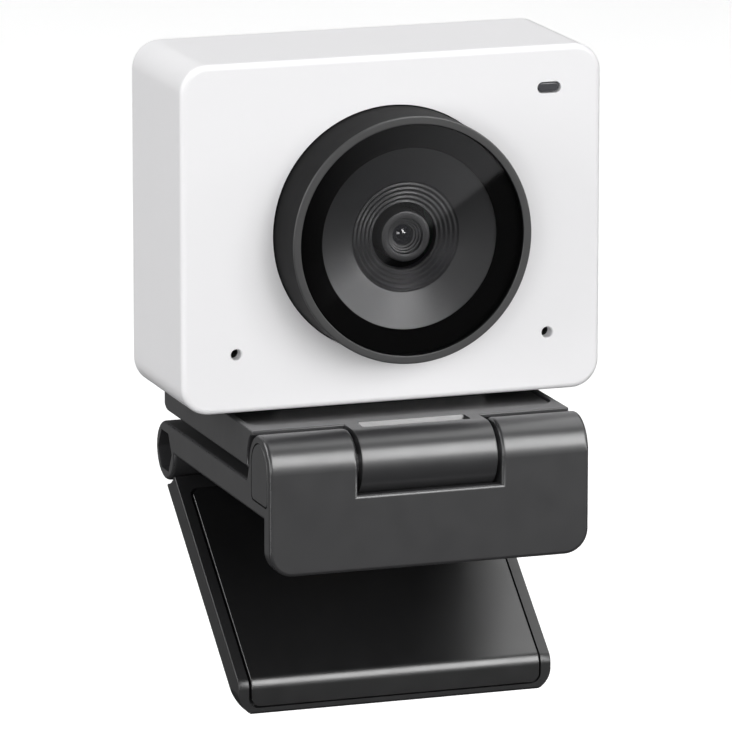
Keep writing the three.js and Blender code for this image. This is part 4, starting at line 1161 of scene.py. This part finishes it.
@dataclass
class TiltPlate(Assembly):
    """Plate that the head sits on, with its hinge barrel, slot and inset pad."""

    body: str = "camera"
    pivot: tuple[float, float] = (0.0, 0.0)
    width: float = 43
    thick: float = 5.1
    rear: float = 41
    rear_round: float = 2
    corner: float = 0.8
    edge: float = 0.25
    knuckle: float = 4.33
    nose_gap: float = 0.85
    barrel: float = 4.25
    barrel_half: float = 9.15
    recess_side: float = 0.8
    recess_front: float = 5.9
    recess_rear: float = 2.2
    recess_depth: float = 0.8
    recess_corner: float = 2
    slot: tuple[float, float] = (14.6, 2.6)
    slot_ahead: float = 3.4
    slot_depth: float = 0.9
    slot_corner: float = 0.35
    slot_lean: float = 22
    nose_round: float = 0.16
    nose_face: float = 0.6
    nose_turn: float = 14
    rear_top: float = 0.3
    rim: float = 0.12
    weld: float = 0.01
    pad_gap: float = 0.3
    pad_sunk: float = 0.1
    pad_thick: float = 0.5

    @property
    def bottom(self) -> float:
        """Underside of the plate, above the tilt axis when positive; its top is at `barrel`."""
        return self.barrel - self.thick

    def _recess(self, gap: float, start: float, end: float, edge: float = 0.0) -> Body:
        """The recess in the plate's top, or the pad in it, smaller by gap all round."""
        half = self.width / 2 - self.recess_side - gap
        front, back = self.recess_front + gap, self.rear - self.recess_rear - gap
        outline = rectangle(-half, front, half, back, self.recess_corner - gap)
        return prism(Axis.Z, outline, start, end, edge, 3)

    def _section(self) -> Points:
        """Side outline: a blunt nose, a hollow round the clip's knuckles and a rounded rear."""
        top, bottom = self.barrel, self.bottom
        nose = self.knuckle + self.nose_gap
        high = math.degrees(math.asin(top / nose))
        low = math.degrees(math.asin(bottom / nose))
        hollow = [tuple(point) for point in arc((0, 0), nose, high - self.nose_turn, low, 6)]
        tip = nose * math.cos(math.radians(high))
        nose_edges = [(tip, top, self.nose_round), (tip, top - self.nose_face, self.nose_round)]
        rear_edges = [(self.rear, bottom, self.rear_round), (self.rear, top, self.rear_top)]
        return rounded([*nose_edges, *hollow, *rear_edges])

    def _groove(self) -> Body:
        """A cutter for the slot across the tongue, its rear wall leaning back."""
        top = self.barrel
        wide, deep = self.slot
        floor = top - self.slot_depth
        lean = self.slot_depth * math.tan(math.radians(self.slot_lean))
        foot = self.slot_ahead - lean
        past = (foot + 2 * lean, floor + 2 * self.slot_depth)
        wedge = np.array([(0, floor), (foot, floor), past, (0, top + 1)])
        outline = plaque(wide, deep, self.slot_corner, (0, self.slot_ahead - deep / 2))
        groove = prism(Axis.Z, outline, floor, top + 1)
        return groove.common(prism(Axis.X, wedge, -self.barrel_half, self.barrel_half))

    def build(self, frame: dict) -> None:
        """Builds the plate and its pad about the tilt axis, then moves them to it."""
        top, bottom = self.barrel, self.bottom
        half, reach = self.width / 2, self.barrel_half
        slab = prism(Axis.X, self._section(), -half, half, self.edge, 3)
        plan = [(-half, 0), (half, 0), (half, self.rear, self.corner), (-half, self.rear, self.corner)]
        slab.common(prism(Axis.Z, rounded(plan), bottom - 1, top + 1))
        tongue = rectangle(0, bottom + self.weld, self.recess_front, top - self.weld / 2)
        slab.fuse(prism(Axis.X, tongue, -reach, reach, self.rim, 2))
        slab.fuse(prism(Axis.X, circle(self.barrel, sides=128), -reach, reach, self.rim, 2))
        floor = top - self.recess_depth
        slab.carve(self._groove(), self._recess(0, floor, top + 1))
        slab.moved(*self.pivot)
        self.finished("plate", slab, "plate_black", "clip_black", "tilt_plate")
        floor += self.pad_sunk
        pad = self._recess(self.pad_gap, floor, floor + self.pad_thick, self.rim)
        pad.moved(*self.pivot)
        self.finished("plate_cushion", pad, "pad_rubber", "pad_rubber", "plate_pad")
        washers = {f"tilt_washer_{side}": "turned_steel" for side in SIDES}
        magnets = {f"plate_magnet_{side}": "nickel_plate" for side in SIDES}
        self.dress_nodes(frame, {**washers, **magnets})


@dataclass
class Clip(Assembly):
    """Frame that hangs over the monitor: lip, knuckles, arm and everything fixed to it."""

    body: str = "clip"
    tilt: tuple[float, float] = (0.0, 0.0)
    fold: tuple[float, float] = (0.0, 0.0)
    half: float = 21.6
    edge: float = 0.5
    knuckle: float = 4.33
    arm_thick: float = 3.85
    lip_thick: float = 2.63
    lip_drop: float = 7.1
    lip_corner: float = 3.2
    under: float = 0.2
    barrel: float = 4.25
    notch_half: float = 9.7
    sill: float = 3.4
    run: float = 0.3
    leg_knuckle: float = 3.95
    leg_barrel: float = 3.85
    leg_notch_half: float = 9.6
    cap: float = 3.15
    cap_thick: float = 1.2
    cap_drop: float = 4.5
    cap_foot: float = 0.8
    cap_seam: float = 0.15
    cap_rim: float = 0.12
    hexagon: float = 3.0
    socket: float = 7.6
    pin: float = 1.28
    web_front: float = 1.3
    web_rear: float = 0.9
    web_top: float = 1.2
    web_sink: float = 0.6
    arm_edge: float = 0.5
    pad_corner: float = 0.9
    pad_rim: float = 0.15
    pad_gap: float = 0.3
    pocket_sunk: float = 0.1
    insert_fit: float = 0.05
    insert_rim: float = 0.1
    insert_mouth: float = 3.5
    thread_bore: float = 3.1
    thread_depth: float = 0.3
    thread_turns: int = 2

    def _cap_outline(self, gap: float) -> Points:
        """Outline of an end cap about the tilt axis: a half round on a foot, grown by gap."""
        r = self.cap + gap
        low, turn = -self.cap_drop - gap, self.cap_foot
        foot = rounded([(r, 0), (-r, 0), (-r, low, turn), (r, low, turn)])
        return np.concatenate([foot[2:], arc((0, 0), r, 0, 180, 6)])

    def _lip(self) -> Body:
        """Lip plate: a U seen from the front, its rims rounded, its arms ending in the knuckles."""
        y, z = self.tilt
        front = y - self.knuckle
        low = self.under - self.lip_drop
        top = z + self.edge
        h, n = self.half, self.notch_half
        corners = [(-h, low, self.lip_corner), (h, low, self.lip_corner), (h, top), (n, top)]
        corners += [(n, z - self.sill), (-n, z - self.sill), (-n, top), (-h, top)]
        return prism(Axis.Y, rounded(corners), front, front + self.lip_thick, self.edge, 5)

    def _side(self, side: int) -> Body:
        """Upper knuckle of one side and the web under it, down to the arm."""
        y, z = self.tilt
        r = self.knuckle
        front, back = self.web_front - r, self.web_rear + r
        deep, top = z - self.under - self.web_sink, self.under + self.arm_thick
        web = [(front, -self.web_top), (front, -deep), (back, -deep), (back, top - z)]
        outline = np.concatenate([arc((0, 0), r, 0, 182, 3), rounded(web)])
        start, end = span(side, self.notch_half, self.half)
        return prism(Axis.X, outline, start, end, self.edge, 5).moved(y, z)

    def _arm(self) -> Body:
        """Arm from the lip to the leg's knuckles, its section a slab that ends in a round."""
        leg_y, leg_z = self.fold
        r = self.leg_knuckle
        front = self.tilt[0] - self.knuckle + self.web_rear
        meet = math.degrees(math.asin((self.under - leg_z) / r))
        end = arc((leg_y, leg_z), r, -180 - meet, 90, 4)
        top, e = self.under + self.arm_thick, self.arm_edge
        start = rounded([(leg_y, top), (front, top, e), (front, self.under, e), (leg_y, self.under)])
        outline = np.concatenate([end, start[1:-1]])
        return prism(Axis.X, outline, -self.half, self.half, self.edge, 5)

    def _rooms(self) -> list[Body]:
        """Cutters for the two hinge barrels."""
        y, z = self.tilt
        room = self.barrel + self.run
        n = self.notch_half
        ahead = -self.knuckle + self.edge + self.run
        above = block((-n, ahead, -self.sill), (n, room, self.knuckle + 1))
        barrel = prism(Axis.X, circle(room, sides=128), -n, n)
        leg_room = self.leg_barrel + self.run
        m = self.leg_notch_half
        behind = block((-m, 0, -leg_room - 1), (m, leg_room + 1, leg_room + 1))
        leg_barrel = prism(Axis.X, circle(leg_room, sides=96), -m, m)
        cutters = [above.moved(y, z), barrel.moved(y, z)]
        return cutters + [behind.moved(*self.fold), leg_barrel.moved(*self.fold)]

    def _end_cuts(self) -> list[Body]:
        """Cutters for the caps, the hexagonal sockets and the pin bores, both sides."""
        cutters = []
        for side in SIDES.values():
            inner = self.half - self.cap_thick - self.pocket_sunk
            start, end = span(side, inner, self.half + 1)
            seat = prism(Axis.X, self._cap_outline(self.cap_seam), start, end)
            cutters.append(seat.moved(*self.tilt))
            start, end = span(side, self.half - self.socket, self.half + 1)
            sockets = prism(Axis.X, circle(self.hexagon, sides=6), start, end)
            cutters.append(sockets.moved(*self.fold))
        for pivot in (self.tilt, self.fold):
            bore = prism(Axis.X, circle(self.pin, sides=48), -self.half, self.half)
            cutters.append(bore.moved(*pivot))
        return cutters

    def _rest(self, node: str, across: Axis, grow: float = 0.0) -> Points:
        """Outline of a rest pad over X and the axis across it, grown all round."""
        low, high = low_high(node)
        a, b = Axis.X.value, across.value
        corner = self.pad_corner + grow
        return rectangle(low[a] - grow, low[b] - grow, high[a] + grow, high[b] + grow, corner)

    def _pockets(self) -> list[Body]:
        """Cutters for the two rest pads and the tripod insert."""
        sunk = self.pocket_sunk
        _, high = low_high("arm_pad")
        arm = prism(Axis.Z, self._rest("arm_pad", Axis.Y, self.pad_gap), -1, high[2] + sunk)
        low, high = low_high("lip_pad")
        seat = self._rest("lip_pad", Axis.Z, self.pad_gap)
        lip = prism(Axis.Y, seat, low[1] - sunk, high[1] + 1)
        low, high = low_high("tripod_insert")
        hole = circle((high[0] - low[0]) / 2 + self.insert_fit, (0, (low[1] + high[1]) / 2))
        return [arm, lip, prism(Axis.Z, hole, -1, high[2] + sunk)]

    def build(self, frame: dict) -> None:
        """Builds the frame and the pieces fixed to it."""
        frame_body = self._lip()
        frame_body.fuse(self._arm(), *[self._side(side) for side in SIDES.values()])
        frame_body.carve(*self._rooms(), *self._end_cuts(), *self._pockets())
        self.finished("clip_body", frame_body, "clip_black", "clip_black", "clip_frame")
        for name, side in SIDES.items():
            start, end = span(side, self.half - self.cap_thick, self.half)
            cap = prism(Axis.X, self._cap_outline(0), start, end, self.cap_rim, 3)
            cap.moved(*self.tilt)
            self.finished(f"cap_{name}", cap, "clip_black", "clip_black", f"end_cap_{name}")
        self._pads()
        self._insert()
        metals = {"tilt_pin": "turned_steel", "leg_screw": "turned_steel", "leg_nut": "turned_steel"}
        self.dress_nodes(frame, metals)

    def _pads(self) -> None:
        """The two rest pads, their rims rounded."""
        low, high = low_high("arm_pad")
        arm = prism(Axis.Z, self._rest("arm_pad", Axis.Y), low[2], high[2], self.pad_rim, 3)
        self.finished("arm_cushion", arm, "pad_rubber", "pad_rubber", "arm_pad")
        low, high = low_high("lip_pad")
        lip = prism(Axis.Y, self._rest("lip_pad", Axis.Z), low[1], high[1], self.pad_rim, 3)
        self.finished("lip_cushion", lip, "pad_rubber", "pad_rubber", "lip_pad")

    def _insert(self) -> None:
        """Thread insert: a bush whose bore is a row of V grooves, one for each turn.

        It is turned about an axis along Y, then stood upright.
        """
        low, high = low_high("tripod_insert")
        radius = (high[0] - low[0]) / 2
        rim, turns = self.insert_rim, self.thread_turns
        across = np.linspace(0, 1, turns * 8 + 1)
        groove = self.thread_depth * np.abs(((across * turns) % 1) * 2 - 1)
        start = low[2] + self.thread_depth
        inner = np.stack([self.thread_bore + groove, start + (high[2] - start) * across], axis=1)
        shoulder = [(radius, low[2] + rim), (radius - rim, low[2])]
        outer = [(radius, high[2]), *shoulder, (self.insert_mouth, low[2])]
        bush = turned(np.concatenate([inner, outer]), 96, (0, -(low[1] + high[1]) / 2))
        bush.moved(0, 0, 90)
        self.finished("tripod_bush", bush, "turned_brass", "brass", "tripod_insert")


@dataclass
class Leg(Assembly):
    """Folding leg: blade, neck and hinge barrel, with a rubber pad wrapped over its tip."""

    body: str = "leg"
    fold: tuple[float, float] = (0.0, 0.0)
    width: float = 43
    thick: float = 3.6
    edge: float = 0.14
    angle: float = 38.3
    face: float = 0.24
    reach: float = 31.0
    tip_round: float = 1.8
    heel_round: float = 0.35
    top_round: float = 0.5
    tip_corner: float = 3.3
    knuckle: float = 3.95
    top_gap: float = 0.5
    barrel: float = 3.85
    barrel_half: float = 9
    pad_side: float = 1.4
    pad_top: float = 6.85
    pad_thick: float = 1
    pad_proud: float = 0.25
    pad_corner: float = 1.3
    pad_sill: float = 1.2
    pad_gap: float = 0.3
    pad_edge: float = 0.12
    pad_sunk: float = 0.1
    pin: float = 1.28
    weld: float = 0.01
    beyond: float = 90

    def _tip(self, z: float, grow: float) -> float:
        """Y of the tip face at a height, moved outwards by grow; upright when the leg hangs."""
        turn = math.radians(self.angle)
        return (-self.reach - grow) / math.cos(turn) + z * math.tan(turn)

    def _section(self, grow: float) -> Points:
        """Side outline of the blade, its face and tip grown outwards."""
        top = self.face + grow
        bottom = self.face - self.thick
        hollow = self.knuckle + self.top_gap
        high = 180 - math.degrees(math.asin(top / hollow))
        low = 180 - math.degrees(math.asin((bottom + self.top_round) / hollow))
        heel = (self._tip(bottom, grow), bottom, self.heel_round)
        behind = (-hollow * math.cos(math.asin(bottom / hollow)), bottom, self.top_round / 2)
        curve = [tuple(point) for point in arc((0, 0), hollow, low, high, 9)]
        tip = (self._tip(top, grow), top, self.tip_round + grow)
        return rounded([tip, heel, behind, *curve[:-1], (*curve[-1], self.top_round)])

    def _front(self, half: float, low: float, corner: float) -> Body:
        """Everything behind the hanging leg's front outline, turned back to the flat leg."""
        high = self.knuckle * 2
        outline = rounded([(-half, low, corner), (half, low, corner), (half, high), (-half, high)])
        return prism(Axis.Y, outline, -self.beyond, self.beyond).moved(0, 0, -self.angle)

    def _room(self, gap: float) -> Body:
        """The room for the pad on the blade: between the borders, under its top, over the sill."""
        half = self.width / 2 - self.pad_side - gap
        top = -self.pad_top - gap
        corner, low = self.pad_corner, -self.beyond
        face = rounded([(-half, low), (half, low), (half, top, corner), (-half, top, corner)])
        room = prism(Axis.Z, face, self.face - self.thick * 2, self.face + 1)
        return room.common(self._front(half, self._heel() + self.pad_sill + gap, corner))

    def _heel(self) -> float:
        """Lowest place of the tip when the leg hangs."""
        turn = math.radians(self.angle)
        bottom = self.face - self.thick
        return self._tip(bottom, 0) * math.sin(turn) + bottom * math.cos(turn)

    def build(self, frame: dict) -> None:
        """Builds the leg lying flat along -Y, then turns it down about its axis."""
        half, reach, wide = self.width / 2, self.barrel_half, self.width
        blade = prism(Axis.X, self._section(0), -half, half, self.edge, 3)
        blade.common(self._front(half, self._heel(), self.tip_corner))
        neck_end = -self.knuckle - self.top_gap - self.thick
        under = self.face - self.thick + 2 * self.weld
        neck = prism(Axis.X, rectangle(neck_end, under, 0, self.face - self.weld), -reach, reach)
        barrel = prism(Axis.X, circle(self.barrel, sides=96), -reach, reach, self.pad_edge, 2)
        blade.fuse(neck, barrel)
        inside = self.pad_proud - self.pad_thick
        core = prism(Axis.X, self._section(inside - self.pad_sunk), -wide, wide)
        blade.carve(self._room(0).carve(core))
        blade.carve(prism(Axis.X, circle(self.pin, sides=48), -half, half))
        blade.moved(*self.fold, self.angle)
        # the blade wears a darker copy of the clip's black: painted shade
        self.finished("leg_body", blade, "leg_black_painted_shade", "clip_black", "leg_frame")
        pad_half = half - self.pad_side - self.pad_gap
        pad = prism(Axis.X, self._section(self.pad_proud), -pad_half, pad_half, self.pad_edge, 3)
        pad.common(self._room(self.pad_gap - self.weld))
        pad.carve(prism(Axis.X, self._section(inside), -wide, wide))
        pad.moved(*self.fold, self.angle)
        self.finished("leg_cushion", pad, "pad_rubber", "pad_rubber", "leg_pad")
        self.dress_nodes(frame, {f"leg_washer_{side}": "turned_steel" for side in SIDES})


# ------------------------------------------------------------------ studio
class Lit(Enum):
    """What a softbox lights: everything, only mirrored gleams, or only matt surfaces."""

    ALL = "all"
    GLEAM = "gleam"
    SPREAD = "spread"


@dataclass(frozen=True)
class Softbox:
    """A rectangular soft light that faces the webcam."""

    name: str
    azimuth: float
    elevation: float
    distance: float
    width: float
    height: float
    radiance: float
    lit: Lit = Lit.ALL

    def build(self, target: Vector) -> None:
        """Places the light: azimuth 0 is in front of the lens, positive to the viewer's right."""
        turn, rise = math.radians(self.azimuth), math.radians(self.elevation)
        flat = math.cos(rise)
        away = Vector((math.sin(turn) * flat, -math.cos(turn) * flat, math.sin(rise)))
        lamp = bpy.data.lights.new(self.name, "AREA")
        lamp.shape = "RECTANGLE"
        lamp.size = self.width
        lamp.size_y = self.height
        lamp.energy = self.radiance * math.pi * self.width * self.height
        obj = bpy.data.objects.new(self.name, lamp)
        obj.location = target + away * self.distance
        obj.rotation_euler = away.to_track_quat("Z", "Y").to_euler()
        obj.visible_diffuse = self.lit is not Lit.GLEAM
        obj.visible_glossy = self.lit is not Lit.SPREAD
        bpy.context.scene.collection.objects.link(obj)


@dataclass
class Studio:
    """Pale floor, softboxes, plain white surround and the camera."""

    floor_drop: float = 70.0
    floor_size: float = 12.0
    focal: float = 351.6
    sensor: float = 36.0
    eye: tuple[float, float, float] = (-0.2965, -0.8503, 0.2158)
    right: tuple[float, float, float] = (0.9455, -0.3256, 0.0)
    forward: tuple[float, float, float] = (0.3179, 0.9231, -0.2164)
    card_left: tuple[float, float, float] = (0.05, -0.5, -0.157)
    card_right: tuple[float, float, float] = (0.25, -0.5, -0.0196)
    card_rise: tuple[float, float, float] = (-0.4, 0.0, 0.58)
    card_fade: tuple[float, float] = (145.0, 200.0)
    card_glow: float = 0.75
    surround: float = 0.05
    boxes: tuple[Softbox, ...] = (
        Softbox("key", 20, 22, 1.6, 0.9, 0.6, 4.2, Lit.SPREAD),
        Softbox("strip", 22, 29, 1.6, 0.45, 1.05, 10.5, Lit.GLEAM),
        Softbox("low", 42, 6, 1.6, 0.28, 0.3, 25.0, Lit.GLEAM),
        Softbox("fill", -8, 12, 2.0, 2.0, 1.4, 1.8, Lit.SPREAD),
        Softbox("left", -72, 8, 1.8, 1.0, 1.3, 3.0),
        Softbox("left_rear", -110, 30, 1.8, 1.0, 1.0, 4.2),
        Softbox("front", -30, 10, 2.2, 1.0, 0.8, 3.6),
        Softbox("centre", 5, 12, 2.2, 0.9, 0.5, 5.0),
        Softbox("top", 88, 61, 1.1, 0.6, 0.6, 2.4),
        Softbox("behind", -158, -6, 2.0, 1.2, 0.9, 0.18, Lit.GLEAM),
        Softbox("sky", 0, 86, 1.8, 1.0, 1.0, 0.9, Lit.SPREAD),
        Softbox("rear", 165, 60, 2.0, 1.6, 0.7, 3.0),
        Softbox("right", 75, 22, 2.0, 0.8, 0.8, 2.8),
    )

    def build(self) -> None:
        """Builds the studio round the frame."""
        low, high = (Vector(corner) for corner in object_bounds())
        middle = (low + high) / 2
        for box in self.boxes:
            box.build(middle)
        self._floor(low.z - self.floor_drop * MM)
        self._card()
        self._surround()
        self._camera()

    def _floor(self, height: float) -> None:
        """Pale floor; it lights nothing from below."""
        half = self.floor_size / 2
        corners = np.array([(-half, -half, 0), (half, -half, 0), (half, half, 0), (-half, half, 0)])
        mesh = bpy.data.meshes.new("floor")
        mesh.from_pydata((corners + [0, 0, height]).tolist(), [], [(0, 1, 2, 3)])
        floor = bpy.data.objects.new("floor", mesh)
        bpy.context.scene.collection.objects.link(floor)
        graph = Graph("floor_paper")
        pulp = graph.noise(graph.place(), 40.0, 3.0)
        inputs = {
            "Base Color": graph.mix(pulp, (0.9, 0.9, 0.9), (0.93, 0.93, 0.93)),
            "Roughness": 0.85 + pulp * 0.1,
            "Specular IOR Level": 0.1,
            "Emission Color": (1.0, 1.0, 1.0, 1.0),
            "Emission Strength": 0.35,
        }
        mesh.materials.append(graph.finish(graph.node("ShaderNodeBsdfPrincipled", {}, inputs)))
        floor.visible_glossy = False
        floor.visible_diffuse = False
        floor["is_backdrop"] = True

    def _card(self) -> None:
        """Sloping card ahead of the lens, seen only in the cover glass; it glows at its right."""
        edge = np.array([self.card_left, self.card_right])
        corners = np.concatenate([edge, edge[::-1] + self.card_rise])
        mesh = bpy.data.meshes.new("card")
        mesh.from_pydata(corners.tolist(), [], [(3, 2, 1, 0)])
        card = bpy.data.objects.new("card", mesh)
        bpy.context.scene.collection.objects.link(card)
        graph = Graph("card_glow")
        across = graph.parts(graph.place())[0]
        glow = graph.mix(across.step(*self.card_fade), (0.0, 0.0, 0.0), (1.0, 1.0, 1.0))
        inputs = {"Color": glow, "Strength": self.card_glow}
        mesh.materials.append(graph.finish(graph.node("ShaderNodeEmission", {}, inputs)))
        card.visible_camera = card.visible_diffuse = card.visible_shadow = False
        card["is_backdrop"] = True

    def _surround(self) -> None:
        """White backdrop that hardly lights the webcam, as a far paper sweep would."""
        world = bpy.data.worlds.new("surround")
        world.use_nodes = True
        nodes, links = world.node_tree.nodes, world.node_tree.links
        nodes.clear()
        seen = nodes.new("ShaderNodeLightPath")
        dim = nodes.new("ShaderNodeBackground")
        dim.inputs["Strength"].default_value = self.surround
        white = nodes.new("ShaderNodeBackground")
        white.inputs["Color"].default_value = (1.0, 1.0, 1.0, 1.0)
        both = nodes.new("ShaderNodeMixShader")
        out = nodes.new("ShaderNodeOutputWorld")
        links.new(seen.outputs["Is Camera Ray"], both.inputs[0])
        links.new(dim.outputs[0], both.inputs[1])
        links.new(white.outputs[0], both.inputs[2])
        links.new(both.outputs[0], out.inputs["Surface"])
        bpy.context.scene.world = world

    def _camera(self) -> None:
        """Long lens from the front left, a little above."""
        data = bpy.data.cameras.new("camera")
        data.lens = self.focal
        data.sensor_width = self.sensor
        data.clip_start = 0.05
        data.clip_end = 50
        obj = bpy.data.objects.new("camera", data)
        bpy.context.scene.collection.objects.link(obj)
        right, forward = Vector(self.right).normalized(), Vector(self.forward).normalized()
        up = right.cross(forward)
        pose = Matrix((right, up, -forward)).transposed().to_4x4()
        obj.matrix_world = Matrix.Translation(Vector(self.eye)) @ pose
        bpy.context.scene.camera = obj
        bpy.context.scene.view_settings.view_transform = "Standard"


def main() -> None:
    """Loads the frame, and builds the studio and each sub-assembly."""
    logging.basicConfig(level=logging.INFO, format="%(name)s: %(message)s")
    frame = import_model()
    pivots = {joint["name"]: np.array(joint["pos_m"]) / MM for joint in frame["joints"]}
    tilt = tuple(float(part) for part in pivots["camera_tilt"][1:])
    fold = tuple(float(part) for part in pivots["leg_fold"][1:])
    Studio().build()
    low, high = low_high("lens_ring")
    palette = Palette(optical_axis=(0.0, 0.0, float(low[2] + high[2]) / 2))
    palette.build()
    CameraHead(palette).build(frame)
    TiltPlate(palette, pivot=tilt).build(frame)
    Clip(palette, tilt=tilt, fold=fold).build(frame)
    Leg(palette, fold=fold).build(frame)


if __name__ == "__main__":
    main()
